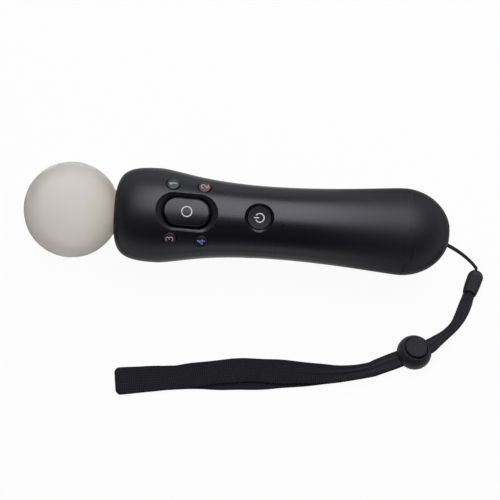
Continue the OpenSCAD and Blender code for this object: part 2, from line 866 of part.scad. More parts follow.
// end cap with the strap's anchor in a pocket on its underside
spigot_x = seam_x - 5.5;
spigot_r = inner_r(spigot_x) - 0.15;
spigot_in = spigot_r - 1.5;
bar_x = end_x - 10;
bar_z = -base_r + 6;
loop_r = bar_d / 2 + cord_d / 2 + 0.05;
pocket_h = 2 * loop_r + cord_d + 0.8;
pocket_w = 7;
pocket_x = bar_x - loop_r - cord_d / 2 - 0.3;
bar_l = pocket_w + 4;
module end_cap() {
    inner_x = base_x + (dome_axis - wall) * sqrt(1 - pow(spigot_in / (base_r - wall), 2));
    color([0.16, 0.16, 0.18])
    difference() {
        union() {
            turned(concat(dome(0, seam_x + seam, end_x, 9),
                [[end_x, 0], [end_x - wall, 0], [end_x - wall, dome_r(end_x - wall, wall)]],
                backwards(dome(wall, inner_x, end_x - wall - 0.3, 6)),
                [[spigot_x, spigot_in], [spigot_x, spigot_r], [seam_x + seam, spigot_r]]));
            intersection() {
                turned(concat([[pocket_x - 1.6, 0]], dome(0.6, pocket_x - 1.6, end_x - 1.2, 8),
                              [[end_x - 1.2, 0]]));
                translate([pocket_x - 1.6, -bar_l / 2, -far])
                    cube([far, bar_l, far + block_top]);
            }
        }
        translate([pocket_x, -pocket_w / 2, bar_z - pocket_h / 2])
            cube([far, pocket_w, pocket_h]);
        translate([bar_x, 0, bar_z])
            rotate([90, 0, 0])
                cylinder(d = bar_d + 0.04, h = bar_l - 0.8, center = true);
        translate([port_face, -usb_w / 2 - 0.15, -usb_h / 2 - 0.15])
            cube([far, usb_w + 0.3, usb_h + 0.3]);
        translate([port_face, -ext_w / 2 - 0.15, ext_z - ext_h / 2 - 0.15])
            cube([far, ext_w + 0.3, ext_h + 0.3]);
        for (s = [-1, 1])
            translate([0, s * contact_y, 0])
                rod(contact_d + 0.2, port_face, end_x + 2);
    }
}
module strap_bar() {
    color("silver")
    translate([bar_x, 0, bar_z])
        rotate([90, 0, 0])
            cylinder(d = bar_d, h = bar_l - 1, center = true);
}

// a band that runs out along a route, turns back on itself and returns beside the way it came
// route rows: x, y, z, width, thickness, half the distance of the two runs, sideways shift, roll
function spline(a, b, c, d, u) = 0.5 * (2 * b + (c - a) * u + (2 * a - 5 * b + 4 * c - d) * u * u
                                        + (3 * b - a - 3 * c + d) * u * u * u);
function smooth(p, n) = concat(
    [for (i = [0 : len(p) - 2], k = [0 : n - 1])
        spline(p[max(0, i - 1)], p[i], p[i + 1], p[min(len(p) - 1, i + 2)], k / n)],
    [p[len(p) - 1]]);
function unit(v) = v / norm(v);
function heading(p, i) = let (a = p[max(0, i - 1)], b = p[min(len(p) - 1, i + 1)])
    unit([b.x - a.x, b.y - a.y, 0]);
function across(t, roll) = cos(roll) * [-t.y, t.x, 0] + sin(roll) * [0, 0, 1];
function above(t, roll) = cos(roll) * [0, 0, 1] - sin(roll) * [-t.y, t.x, 0];
function hoop(c, side, up, w, t, form) = [for (q = form) c + side * q.x * w / 2 + up * q.y * t / 2];
flat_form = [[-1, -0.5], [-0.93, -1], [0.93, -1], [1, -0.5], [1, 0.5], [0.93, 1], [-0.93, 1], [-1, 0.5]];
round_form = [for (k = [0 : 7]) [cos(45 * k + 22.5), sin(45 * k + 22.5)]];

module doubled_band(route, steps, turn_steps, form) {
    p = smooth(route, steps);
    n = len(p);
    sides = len(form);
    rings = concat(
        [for (i = [0 : n - 1]) let (q = p[i], t = heading(p, i), s = across(t, q[7]), u = above(t, q[7]))
            hoop([q.x, q.y, q.z] + u * q[5], s, u, q[3], q[4], form)],
        [for (k = [1 : turn_steps - 1]) let (q = p[n - 1], t = heading(p, n - 1), a = 180 * k / turn_steps,
                                             s = across(t, 0), u = cos(a) * [0, 0, 1] + sin(a) * t)
            hoop([q.x, q.y, q.z] + u * q[5], s, u, q[3], q[4], form)],
        [for (i = [n - 1 : -1 : 0]) let (q = p[i], t = heading(p, i), s = across(t, q[7]), u = above(t, q[7]))
            hoop([q.x, q.y, q.z] - u * q[5] + s * q[6], s, -u, q[3], q[4], form)]);
    m = len(rings);
    polyhedron([for (r = rings, q = r) q], concat(
        [[for (k = [sides - 1 : -1 : 0]) k]],
        [for (i = [0 : m - 2], k = [0 : sides - 1])
            let (a = i * sides + k, b = i * sides + (k + 1) % sides)
            each [[a, b, b + sides], [a, b + sides, a + sides]]],
        [[for (k = [0 : sides - 1]) (m - 1) * sides + k]]), convexity = 12);
}

// sleeve that joins the cord and the webbing, lying on the table
sleeve_at = [117, -14.05];
sleeve_turn = -107;
sleeve_z = sleeve_t / 2 + 0.1;
sleeve_dir = [cos(sleeve_turn), sin(sleeve_turn)];
cord_side = 1;
strand_gap = 0.85;
tape_in = [5.6, 1.2, 0.8];
module in_sleeve() {
    translate([sleeve_at.x, sleeve_at.y, sleeve_z])
        rotate([0, 0, sleeve_turn])
            children();
}
module strap_sleeve() {
    color([0.3, 0.3, 0.31])
    in_sleeve()
    difference() {
        intersection() {
            translate([0, 0, -sleeve_t / 2])
                linear_extrude(height = sleeve_t)
                    union() {
                        translate([sleeve_w / 2, 0])
                            circle(d = sleeve_w);
                        translate([sleeve_w / 2, -sleeve_w / 2])
                            square([sleeve_l - sleeve_w / 2, sleeve_w]);
                    }
            translate([-1, 0, 0])
                rotate([90, 0, 90])
                    linear_extrude(height = sleeve_l + 2)
                        union() {
                            square([sleeve_w, sleeve_t - 3], center = true);
                            square([sleeve_w - 3, sleeve_t], center = true);
                            for (a = [-1, 1], b = [-1, 1])
                                translate([a * (sleeve_w / 2 - 1.5), b * (sleeve_t / 2 - 1.5)])
                                    circle(r = 1.5);
                        }
        }
        translate([sleeve_l - 5 - seat, -tape_in[0] / 2 - 0.2, -tape_in[2] - tape_in[1] / 2 - 0.2])
            cube([far, tape_in[0] + 0.4, 2 * tape_in[2] + tape_in[1] + 0.4]);
        for (s = [-1, 1])
            translate([-1, -cord_side, s * strand_gap])
                rotate([0, 90, 0])
                    cylinder(d = cord_d + 0.2, h = 5);
    }
}

// cord loop from the sleeve round the anchor bar and back
bar_world = [tip_shift + bar_x * cos(pitch) + bar_z * sin(pitch), 0,
             axis_lift - bar_x * sin(pitch) + bar_z * cos(pitch)];
cord_mouth = sleeve_at + cord_side * [sin(sleeve_turn), -cos(sleeve_turn)];
function in_sleeve_bore(s) = concat(cord_mouth + s * sleeve_dir,
                                    [sleeve_z, cord_d, cord_d, strand_gap, 0, 0]);
module strap_cord() {
    color([0.12, 0.12, 0.12])
    doubled_band([
        in_sleeve_bore(3.9),
        in_sleeve_bore(2.4),
        in_sleeve_bore(0.9),
        in_sleeve_bore(-0.6),
        [115.3, -12, sleeve_z + 0.2, cord_d, cord_d, 0.95, 0, 0],
        [113.2, -10, 3.1, cord_d, cord_d, 1.1, 0, 0],
        [110.2, -7.7, 3.7, cord_d, cord_d, 1.3, 0, 0],
        [106.4, -5.4, 4.4, cord_d, cord_d, 1.6, 0, 0],
        [101.8, -3.2, 5.2, cord_d, cord_d, 1.9, 0, 0],
        [96.5, -1.2, bar_world.z - 0.1, cord_d, cord_d, 2.2, 0, 0],
        [bar_world.x + 3.4, -0.2, bar_world.z, cord_d, cord_d, loop_r, 0, 0],
        [bar_world.x, 0, bar_world.z, cord_d, cord_d, loop_r, 0, 0]], 3, 8, round_form);
}

// strap lock on a straight stretch of the webbing
lock_at = [88, -56.1];
lock_turn = 204.5;
lock_roll = 22;
tape_w = 7;
tape_t = 1.4;
tape_half = 0.9;
tape_room = tape_half + tape_t / 2;
lock_rim = 2.75;
lock_heel = 2.2;
lock_taper = 2.2;
lock_shoulder = 1.2;
lock_top = 5.6;
lock_foot = -2.55;
lock_floor = lock_foot - lock_press - 1;
lock_base = lock_floor - 0.85;
lock_base_r = lock_d / 2 - lock_heel;
lock_z = -lock_base * cos(lock_roll) + lock_base_r * sin(lock_roll) + 0.04;
lock_dir = [cos(lock_turn), sin(lock_turn)];
module in_lock() {
    translate([lock_at.x, lock_at.y, lock_z])
        rotate([0, 0, lock_turn])
            rotate([lock_roll, 0, 0])
                children();
}
module lock_body() {
    bore_r = lock_button_d / 2 + 0.1;
    color([0.3, 0.3, 0.31])
    in_lock()
    difference() {
        rotate_extrude()
            polygon([[0, lock_base], [lock_base_r, lock_base], [lock_d / 2, lock_base + lock_heel],
                     [lock_d / 2, lock_rim - lock_taper], [lock_d / 2 - lock_shoulder, lock_rim],
                     [bore_r, lock_rim], [bore_r, lock_floor], [0, lock_floor]]);
        translate([-far, -tape_w / 2 - 0.4, -tape_room - 0.3])
            cube([2 * far, tape_w + 0.8, 2 * tape_room + 0.6]);
    }
}
module lock_button() {
    color([0.36, 0.36, 0.37])
    in_lock()
    difference() {
        rotate_extrude()
            polygon([[0, lock_foot], [lock_button_d / 2, lock_foot], [lock_button_d / 2, lock_top - 0.5],
                     [lock_button_d / 2 - 0.5, lock_top], [0, lock_top]]);
        translate([-far, -tape_w / 2 - 0.4, -tape_room - 0.15])
            cube([2 * far, tape_w + 0.8, 2 * tape_room + 0.3 + lock_press]);
    }
}
module lock_spring() {
    color("silver")
    in_lock()
        translate([0, 0, lock_floor + 0.3])
            coil(3.4, 0.25, 0, 720, lock_foot - lock_floor - 0.6, 0, 32);
}
function on_lock_line(s, w) = concat(lock_at + s * lock_dir, [lock_z, w, tape_t, tape_half, 0, lock_roll]);
tape_start = sleeve_at + (sleeve_l - 5) * sleeve_dir;
tape_mouth = sleeve_at + (sleeve_l + 0.6) * sleeve_dir;
module wrist_strap() {
    color([0.14, 0.14, 0.15])
    doubled_band([
        concat(tape_start, [sleeve_z], tape_in, [0, 0]),
        concat(tape_mouth, [sleeve_z], tape_in, [0, 0]),
        [111.3, -32, 3.2, 6, tape_t, tape_half, 0, 2],
        [108.8, -38, 4.3, 5.4, tape_t, tape_half, 0, 8],
        [104.6, -43.4, 5.6, 5.2, tape_t, tape_half, 0, 15],
        [100.2, -48.4, 6.9, 5.6, tape_t, tape_half, 0, 20],
        on_lock_line(-9.5, 6.4),
        on_lock_line(0, tape_w),
        on_lock_line(9.5, tape_w),
        on_lock_line(19, tape_w),
        on_lock_line(21.5, tape_w),
        [61.2, -66.8, 6.2, tape_w, 1.35, 0.88, 0, 14],
        [52.4, -68, 4.6, 8, 1.25, 0.82, 0.3, 7],
        [43, -68.4, 3, 9.5, 1.05, 0.72, 0.9, 1],
        [30.6, -68.6, 2, 10.9, 0.9, 0.65, 1.9, 0],
        [19.6, -68.7, 1.7, 11.4, 0.9, 0.65, 3, 0],
        [8, -69, 1.5, 11.4, 0.9, 0.65, 3.9, 0],
        [-3.8, -70.7, 1.45, 11.4, 0.9, 0.65, 3, 0],
        [-15.1, -72.8, 1.4, 11.3, 0.9, 0.65, 1.4, 0],
        [-25, -74.7, 1.35, 11.3, 0.9, 0.65, 0.1, 0],
        [-35, -76, 1.3, 12.2, 0.9, 0.65, 0, 0],
        [-52, -78.3, 1.3, 13, 0.9, 0.65, 0, 0]], 2, 4, flat_form);
}

lying() light_sphere();
lying() sphere_collar();
lying() led_board();
lying() rgb_led();
lying() front_shell();
lying() rear_shell();
lying() end_cap();
lying() oval_button();
lying() action_button(0);  // action_button_1
lying() action_button(1);  // action_button_2
lying() action_button(2);  // action_button_3
lying() action_button(3);  // action_button_4
lying() home_button();
lying() side_button(1);  // select_button
lying() side_button(-1);  // start_button
lying() trigger();
lying() trigger_pin();
lying() trigger_spring();
lying() trigger_pad();
lying() button_mat();
lying() main_board();
lying() board_chips();
lying() inner_frame();
lying() battery();
lying() rumble_motor();
lying() rumble_weight();
lying() connector_board();
lying() usb_socket();
lying() ext_connector();
lying() ext_contacts();
lying() charge_contacts();
lying() flex_ribbon();
lying() side_switches();
lying() case_screws();
lying() board_screws();
lying() strap_bar();
strap_cord();
strap_sleeve();
wrist_strap();
lock_body();
lock_button();
lock_spring();
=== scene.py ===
# %% [markdown]
# # A motion controller wand
# The wand lies on a white table with its buttons up: a soft white ball, a waisted black housing,
# front buttons, a trigger underneath and a wrist strap with a slide lock.
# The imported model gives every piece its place. This file gives the pieces their rounded edges,
# their finishes, the light and the camera. Lengths are written in millimetres and become metres
# in one place, where a mesh is made.

import bpy
import numpy as np
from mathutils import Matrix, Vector


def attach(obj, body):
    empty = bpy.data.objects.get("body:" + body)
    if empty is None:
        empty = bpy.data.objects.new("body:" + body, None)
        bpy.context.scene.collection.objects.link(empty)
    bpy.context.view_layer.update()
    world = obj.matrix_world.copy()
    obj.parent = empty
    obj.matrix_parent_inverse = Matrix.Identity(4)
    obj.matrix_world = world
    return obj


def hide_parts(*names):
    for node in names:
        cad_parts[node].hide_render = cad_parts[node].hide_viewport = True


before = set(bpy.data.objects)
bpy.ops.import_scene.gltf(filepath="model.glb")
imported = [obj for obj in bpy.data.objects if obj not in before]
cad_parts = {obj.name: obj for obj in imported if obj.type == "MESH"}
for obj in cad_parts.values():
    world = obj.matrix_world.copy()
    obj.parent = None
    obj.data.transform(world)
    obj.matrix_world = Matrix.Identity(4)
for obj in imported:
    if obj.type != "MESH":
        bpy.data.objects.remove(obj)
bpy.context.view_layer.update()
MM = 0.001

# %% [markdown]
# ## Camera
# The photograph looks down on the table, almost straight, from about 0.8 m with a long lens.
# The angles and the lens were fitted to the outline of the wand, so the camera is placed by
# azimuth and elevation about a point on the table between wand and strap.

# %% Camera
scene = bpy.context.scene
scene.view_settings.view_transform = "Standard"


def stand(made, at, aim):
    """Puts a camera or a lamp at a point, facing another."""
    made.location = at
    made.rotation_mode = "QUATERNION"
    made.rotation_quaternion = (Vector(aim) - Vector(at)).to_track_quat("-Z", "Y")
    scene.collection.objects.link(made)


AZIMUTH, ELEVATION, DISTANCE = np.radians(3.774), np.radians(83.62), 0.8
AIM = Vector((0.00732, -0.01331, 0.020))
level_part = np.cos(ELEVATION)
back = Vector((np.sin(AZIMUTH) * level_part, -np.cos(AZIMUTH) * level_part, np.sin(ELEVATION)))
camera = bpy.data.objects.new("camera", bpy.data.cameras.new("camera"))
camera.data.sensor_width, camera.data.lens = 36, 122.35
camera.data.clip_start, camera.data.clip_end = 0.01, 50
stand(camera, AIM + DISTANCE * back, AIM)
scene.camera = camera
print("camera at", [round(c, 3) for c in camera.location])

# %% [markdown]
# ## Tools for finishes
# A finish is a Principled shader with a few texture nodes. Colours are written as sRGB hex, as one
# would pick them from a swatch, and one function turns them into the linear values Blender wants.
# A second function adds a node with its settings and links, which keeps every finish to a few lines.


# %% Colour and node helpers
def linear(swatch):
    """sRGB hex to linear: c / 12.92 for dark c, else ((c + 0.055) / 1.055) to the power 2.4."""
    c = np.array([int(swatch[i : i + 2], 16) for i in (1, 3, 5)]) / 255
    c = np.where(c <= 0.04045, c / 12.92, ((c + 0.055) / 1.055) ** 2.4)
    return (*c.tolist(), 1.0)


def add(tree, kind, values={}, links={}, **settings):
    """Adds one node: settings are its properties, values its sockets, links its incoming wires."""
    made = tree.nodes.new(kind)
    for key, value in settings.items():
        setattr(made, key, value)
    for key, value in values.items():
        made.inputs[key].default_value = value
    for key, output in links.items():
        tree.links.new(output, made.inputs[key])
    return made


def start_finish(name, **sockets):
    """A new material: its node tree, its Principled shader and its object coordinates in millimetres."""
    made = bpy.data.materials.new(name)
    made.use_nodes = True
    tree = made.node_tree
    shader = tree.nodes["Principled BSDF"]
    for key, value in sockets.items():
        shader.inputs[key.replace("_", " ")].default_value = value
    where = add(tree, "ShaderNodeTexCoord").outputs["Object"]
    in_mm = add(tree, "ShaderNodeVectorMath", {1: (1000, 1000, 1000)}, {0: where}, operation="MULTIPLY")
    print("finish:", name)
    return made, tree, shader, in_mm.outputs[0]


def two_tone(tree, shader, share, dark, light):
    """Blends two colours by a 0 to 1 value and wires the result to the shader's colour."""
    blend = add(tree, "ShaderNodeMix", {6: linear(dark), 7: linear(light)}, {0: share}, data_type="RGBA")
    tree.links.new(blend.outputs[2], shader.inputs["Base Color"])


def grain(tree, shader, where, size, height, detail=2.0, rough=None):
    """Bump from noise whose lumps are size mm across and height mm high; rough spreads the roughness."""
    noise = add(tree, "ShaderNodeTexNoise", {"Scale": 1 / size, "Detail": detail}, {"Vector": where})
    noise = noise.outputs["Fac"]
    bump = add(tree, "ShaderNodeBump", {"Strength": 1.0, "Distance": height * MM}, {"Height": noise})
    tree.links.new(bump.outputs[0], shader.inputs["Normal"])
    if rough:
        ends = {"From Min": 0.3, "From Max": 0.7, "To Min": rough[0], "To Max": rough[1]}
        spread = add(tree, "ShaderNodeMapRange", ends, {"Value": noise})
        tree.links.new(spread.outputs[0], shader.inputs["Roughness"])
    return noise


def mottled(name, dark, light, rough, size, height, detail=3.0, **sockets):
    """A finish of two tones blended by its own grain, whose lumps are size mm across and height mm high."""
    made, tree, shader, where = start_finish(name, **sockets)
    two_tone(tree, shader, grain(tree, shader, where, size, height, detail, rough), dark, light)
    return made


# %% [markdown]
# ## Tools for meshes
# Every new piece is a surface worked out as whole arrays. A loft is a stack of closed rings joined by
# quads and closed at both ends. The mesh maker turns the faces outwards by the sign of the volume
# they enclose, so a profile can be written in either direction.


# %% Mesh helpers
def unit(v):
    """A vector, or each row of an array, divided by its length."""
    return v / np.linalg.norm(v, axis=-1, keepdims=True)


def run_length(points):
    """Distance along a line of points from its start to each of them."""
    return np.concatenate([[0], np.cumsum(np.linalg.norm(np.diff(points, axis=0), axis=1))])


def volume(points, faces):
    """Signed volume of a closed mesh: the sum of a . (b x c) / 6 over the fan triangles of its faces."""
    total = 0.0
    for f in faces:
        for k in range(1, f.shape[1] - 1):
            a, b, c = points[f[:, 0]], points[f[:, k]], points[f[:, k + 1]]
            total += np.einsum("ij,ij->", a, np.cross(b, c)) / 6
    return total


def make_piece(name, points, faces, body, nodes, slot, finish, uv=None):
    """Builds a mesh piece from points in mm and a list of face arrays, and puts it on its body."""
    points = np.asarray(points, float).reshape(-1, 3)
    faces = [np.asarray(f) for f in faces]
    turn = volume(points - points.mean(0), faces) < 0
    if turn:
        faces = [f[:, ::-1] for f in faces]
    mesh = bpy.data.meshes.new(name)
    mesh.from_pydata((points * MM).tolist(), [], [row for f in faces for row in f.tolist()])
    mesh.polygons.foreach_set("use_smooth", np.ones(len(mesh.polygons), bool))
    if uv is not None:
        corners = np.concatenate([(u[:, ::-1] if turn else u).reshape(-1, 2) for u in uv])
        mesh.uv_layers.new(name="UVMap").data.foreach_set("uv", corners.ravel())
    mesh.validate()
    made = bpy.data.objects.new(name, mesh)
    scene.collection.objects.link(made)
    mesh.materials.append(finish)
    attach(made, body)
    if nodes:
        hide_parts(*nodes)
    print(f"{name}: {len(points)} points, {len(mesh.polygons)} faces")
    return made


def loft(rings):
    """Points and faces of a stack of rings (rings, around, 3): quads between neighbours, each ring closed
    on itself, and one flat face at each end."""
    rings = np.asarray(rings, float)
    n, m = rings.shape[:2]
    i, j = np.meshgrid(np.arange(n - 1) * m, np.arange(m), indexing="ij")
    k = (j + 1) % m
    quads = np.stack([i + j, i + k, i + m + k, i + m + j], -1).reshape(-1, 4)
    ends = [np.arange(m)[None, ::-1], (n - 1) * m + np.arange(m)[None]]
    return rings.reshape(-1, 3), [quads, *ends]


def loft_uv(u, v):
    """UV corners of a loft: u at each column and once more where the ring closes, v at each ring."""
    i, j = np.meshgrid(np.arange(len(v) - 1), np.arange(len(u) - 1), indexing="ij")
    corners = [np.stack([u[b], v[a]], -1) for a, b in ((i, j), (i, j + 1), (i + 1, j + 1), (i + 1, j))]
    end = np.zeros((1, len(u) - 1, 2))
    return [np.stack(corners, 2).reshape(-1, 4, 2), end, end]


def turned_rings(profile, around):
    """A profile of (radius, height) turned about the z axis."""
    radius, height = np.asarray(profile, float).T[..., None]
    t = np.linspace(0, 2 * np.pi, around, endpoint=False)
    return np.stack([radius * np.cos(t), radius * np.sin(t), np.repeat(height, around, 1)], -1)


def joined_corners(corners, edge):
    """One closed ring from four corner arcs, joined by straight edges of so many steps."""
    steps = np.linspace(0, 1, edge + 1)[1:-1, None]
    parts = []
    for k in range(4):
        a, b = corners[k][-1], corners[(k + 1) % 4][0]
        parts += [corners[k], a + steps * (b - a)]
    return np.concatenate(parts)


def rounded_ring(bx, by, r, edge, arc):
    """Rounded rectangle of half sizes bx, by and corner radius r: quarter arcs joined by divided edges."""
    t = np.radians(np.linspace(0, 90, arc))
    quarters = []
    for k, (sx, sy) in enumerate([(1, 1), (-1, 1), (-1, -1), (1, -1)]):
        a = t + k * np.pi / 2
        quarters.append(np.stack([sx * (bx - r) + r * np.cos(a), sy * (by - r) + r * np.sin(a)], -1))
    return joined_corners(quarters, edge)


def smooth_route(points, n):
    """Catmull-Rom curve through rows of numbers, n steps a span."""
    p = np.asarray(points, float)
    p = np.concatenate([p[:1], p, p[-1:]])
    a, b, c, d = (p[k : len(p) - 3 + k, None] for k in range(4))
    u = (np.arange(n) / n)[None, :, None]
    square, cube = 2 * a - 5 * b + 4 * c - d, 3 * b - a - 3 * c + d
    rows = 0.5 * (2 * b + (c - a) * u + square * u**2 + cube * u**3)
    return np.concatenate([rows.reshape(-1, p.shape[1]), p[-1:]])


# %% [markdown]
# ## Sizes of the wand
# The wand is drawn about its own axis, with x = 0 at the ball's centre and +z at the buttons. It rests
# on its head and its base, so it leans by less than a degree. The same rule that the solids follow
# gives that lean here.

# %% Sizes and place
BALL_R, HEAD_R, WAIST_R, BASE_R, RIM_R, FLAT_R = 22.5, 22.2, 17.05, 20.5, 10.5, 5.3
RIM_X, HEAD_X, WAIST_X, END_X = 20.5, 40.5, 93.5, 177.5
BASE_L, CAP_L, WALL = 22, 20.3, 2.2
BASE_X, SEAM_X = END_X - BASE_L, END_X - CAP_L
DOME = BASE_L / np.sqrt(1 - (FLAT_R / BASE_R) ** 2)
LEAN = np.arctan2(HEAD_R - BASE_R, BASE_X - HEAD_X)
LIFT = HEAD_X * np.sin(LEAN) + HEAD_R * np.cos(LEAN)
SHIFT = -(END_X * np.cos(LEAN) + FLAT_R * np.sin(LEAN) - BALL_R) / 2


def lie(p):
    """Wand frame to table frame: turn by the lean about Y, then move to the table."""
    p = np.asarray(p, float)
    x, y, z = p[..., 0], p[..., 1], p[..., 2]
    return np.stack([SHIFT + x * np.cos(LEAN) + z * np.sin(LEAN), y,
                     LIFT - x * np.sin(LEAN) + z * np.cos(LEAN)], -1)


def set_down(x, y, z, at, turn, height):
    """Turns points about the vertical by an angle and moves them to a place over the table."""
    c, s = np.cos(turn), np.sin(turn)
    return np.stack([at[0] + x * c - y * s, at[1] + x * s + y * c, height + z], -1)


print("lean", round(np.degrees(LEAN), 3), "deg, axis", round(LIFT, 2), "mm up at the ball")

# %% [markdown]
# ## The strap's cord
# A thin braided cord leaves the moulded sleeve, goes round the anchor bar in the base and comes back,
# so it is one cord of about 78 mm with both ends in the sleeve. The route repeats the solid's points.
# A braid has two sets of yarns that cross: two slanted waves on the tube's own UV map give that.


# %% Braided cord finish
def yarn_wave(tree, where, turn):
    """Sine ridges over the UV map, slanted by an angle. The wave's angle is 20 times its scale, so the scale
    gives one ridge a unit, and the map has 6 units a turn: yarns about 0.6 mm apart."""
    scaled = add(tree, "ShaderNodeMapping", {"Scale": (6.0, 6.0, 1), "Rotation": (0, 0, turn)},
                 {"Vector": where})
    return add(tree, "ShaderNodeTexWave", {"Scale": 1 / 6.2832 * 2}, {"Vector": scaled.outputs[0]},
               wave_type="BANDS", bands_direction="X", wave_profile="SIN").outputs["Fac"]


cord_finish, tree, shader, where = start_finish(
    "polyester_cord_braided", Roughness=0.75, Sheen_Weight=0.25, Sheen_Roughness=0.5)
uv = add(tree, "ShaderNodeUVMap").outputs[0]
YARN_SLANT = 0.9
crossing = {0: yarn_wave(tree, uv, YARN_SLANT), 1: yarn_wave(tree, uv, -YARN_SLANT)}
yarns = add(tree, "ShaderNodeMath", {}, crossing, operation="MAXIMUM").outputs[0]
two_tone(tree, shader, yarns, "#040405", "#111113")
bump = add(tree, "ShaderNodeBump", {"Strength": 0.8, "Distance": 0.12 * MM}, {"Height": yarns})
tree.links.new(bump.outputs[0], shader.inputs["Normal"])

# %% Cord mesh
BAR_X, BAR_Z, BAR_R = 167.5, -BASE_R + 6, 1.65
BAR = lie([BAR_X, 0, BAR_Z])
SLEEVE_AT, SLEEVE_TURN, SLEEVE_T = np.array([117.0, -14.05]), np.radians(-107), 5.0
SLEEVE_DIR = np.array([np.cos(SLEEVE_TURN), np.sin(SLEEVE_TURN)])
SLEEVE_Z = SLEEVE_T / 2 + 0.1
CORD_D, CORD_AROUND, YARN_L = 1.3, 12, 3.456
LOOP_R = BAR_R + CORD_D / 2 + 0.05
cord_mouth = SLEEVE_AT + np.array([SLEEVE_DIR[1], -SLEEVE_DIR[0]])
# rows: x, y, z between the two runs of the cord, and half their distance
cord_rows = [[*(cord_mouth + s * SLEEVE_DIR), SLEEVE_Z, 0.85] for s in (3.9, 2.4, 0.9, -0.6)] + [
    [115.3, -12, SLEEVE_Z + 0.2, 0.95], [113.2, -10, 3.1, 1.1], [110.2, -7.7, 3.7, 1.3],
    [106.4, -5.4, 4.4, 1.6], [101.8, -3.2, 5.2, 1.9], [96.5, -1.2, BAR[2] - 0.1, 2.2],
    [BAR[0] + 3.4, -0.2, BAR[2], LOOP_R], [BAR[0], 0, BAR[2], LOOP_R]]
up = np.array([[0.0, 0, 1]])
rows = smooth_route(cord_rows, 10)
upper_run, lower_run = rows[:, :3] + rows[:, 3:] * up, rows[:, :3] - rows[:, 3:] * up
inwards = unit(np.array([rows[-1, 0] - rows[-2, 0], rows[-1, 1] - rows[-2, 1], 0]))
a = np.linspace(0, np.pi, 22)[1:-1, None]
round_bar = rows[-1, :3] + rows[-1, 3] * (np.cos(a) * up + np.sin(a) * inwards)
cord_path = np.concatenate([upper_run, round_bar, lower_run[::-1]])
cord_length = run_length(cord_path)[-1]
# a ring stands square to the route: its two directions are found from the route and the bar's own direction
t = unit(np.gradient(cord_path, axis=0))
second = unit(np.cross(t, np.cross(inwards, up)))
first = unit(np.cross(t, second))
a = np.linspace(0, 2 * np.pi, CORD_AROUND, endpoint=False)[None, :, None]
cord_rings = cord_path[:, None] + CORD_D / 2 * (np.cos(a) * first[:, None] + np.sin(a) * second[:, None])
cord_v = np.arange(len(cord_path)) * cord_length / len(cord_path) / YARN_L
cord = make_piece("strap_cord_braid", *loft(cord_rings), "wand", ["strap_cord"], "black_cord", cord_finish,
                  loft_uv(np.linspace(0, 1, CORD_AROUND + 1), cord_v))
print("cord length", round(cord_length, 1), "mm")

# %% [markdown]
# ## The sleeve
# A moulded sleeve hides the knot between cord and webbing. It is a flat tube with a round nose, so each
# cross-section is a bevelled rectangle whose width grows like a half circle at the nose. The skin turns
# in at the mouth and runs back inside, which gives the mouth a real lip, and the lip is drawn back in the
# middle to an arch. Sleeve and lock are ABS with a fine spark-eroded texture, about 0.3 mm from lump to
# lump, drawn a little coarser so that it shows.

# %% Moulded sleeve
SPARK_SIZE, SPARK_HEIGHT = 0.45, 0.05
grey_abs = mottled("abs_dark_grey_textured", "#14141c", "#1f1f29", (0.5, 0.68), SPARK_SIZE, SPARK_HEIGHT,
                   Specular_IOR_Level=0.36)
SLEEVE_L, SLEEVE_W, LIP_R, NOSE_L, ARCH, ARCH_X = 12.8, 7.4, 0.5, 2.6, 2.0, 6
half_w, half_t = SLEEVE_W / 2, SLEEVE_T / 2
nose = half_w * (1 - np.cos(np.linspace(0.03, np.pi / 2, 16)))
outer_s = np.concatenate([nose, np.linspace(half_w, SLEEVE_L - LIP_R, 12)[1:]])
outer_w = np.sqrt(np.maximum(0, half_w**2 - np.maximum(0, half_w - outer_s) ** 2))
outer_t = half_t * np.sqrt(1 - (np.maximum(0, NOSE_L - outer_s) / (NOSE_L + 0.02)) ** 2)
lip = np.radians(np.linspace(15, 165, 9))
lip_s, lip_in = SLEEVE_L - LIP_R + LIP_R * np.sin(lip), LIP_R - LIP_R * np.cos(lip)
s = np.concatenate([outer_s, lip_s, [SLEEVE_L - 2.5, SLEEVE_L - 5]])
w = np.concatenate([outer_w, half_w - lip_in, [3.1, 3.0]])
h = np.concatenate([outer_t, half_t - lip_in * 0.9, [1.6, 1.6]])


def bevelled_ring(bx, by, cut, r):
    """Rectangle of half sizes bx, by with corners cut at 45 degrees; each of the eight corners is an arc of
    radius r. The arc's centre lies r inside both its edges, so r tan(22.5 deg) back from the corner."""
    t, back = np.radians(np.linspace(0, 45, 6)), r * np.tan(np.pi / 8)
    side = np.stack([bx - r + r * np.cos(t), by - cut - back + r * np.sin(t)], -1)
    t = t + np.pi / 4
    roof = np.stack([bx - cut - back + r * np.cos(t), by - r + r * np.sin(t)], -1)
    first = np.concatenate([side, roof])
    return joined_corners([first, (first * [-1, 1])[::-1], first * [-1, -1], (first * [1, -1])[::-1]], 7)


bevel = np.minimum(np.minimum(w, h) * 0.55, 1.35)
sections = np.stack([bevelled_ring(wi, hi, bi, bi * 0.35) for wi, hi, bi in zip(w, h, bevel)])
along, across, high = np.repeat(s[:, None], sections.shape[1], 1), sections[..., 0], sections[..., 1]
arch = np.clip((along - ARCH_X) / (SLEEVE_L - ARCH_X), 0, 1) ** 2
along = along - ARCH * arch * (1 - (across / half_w) ** 2)
rings = set_down(along, across * (1 - 0.16 * arch), high, SLEEVE_AT, SLEEVE_TURN, SLEEVE_Z)
sleeve = make_piece("strap_sleeve_moulded", *loft(rings), "wand", ["strap_sleeve"], "grey_plastic", grey_abs)

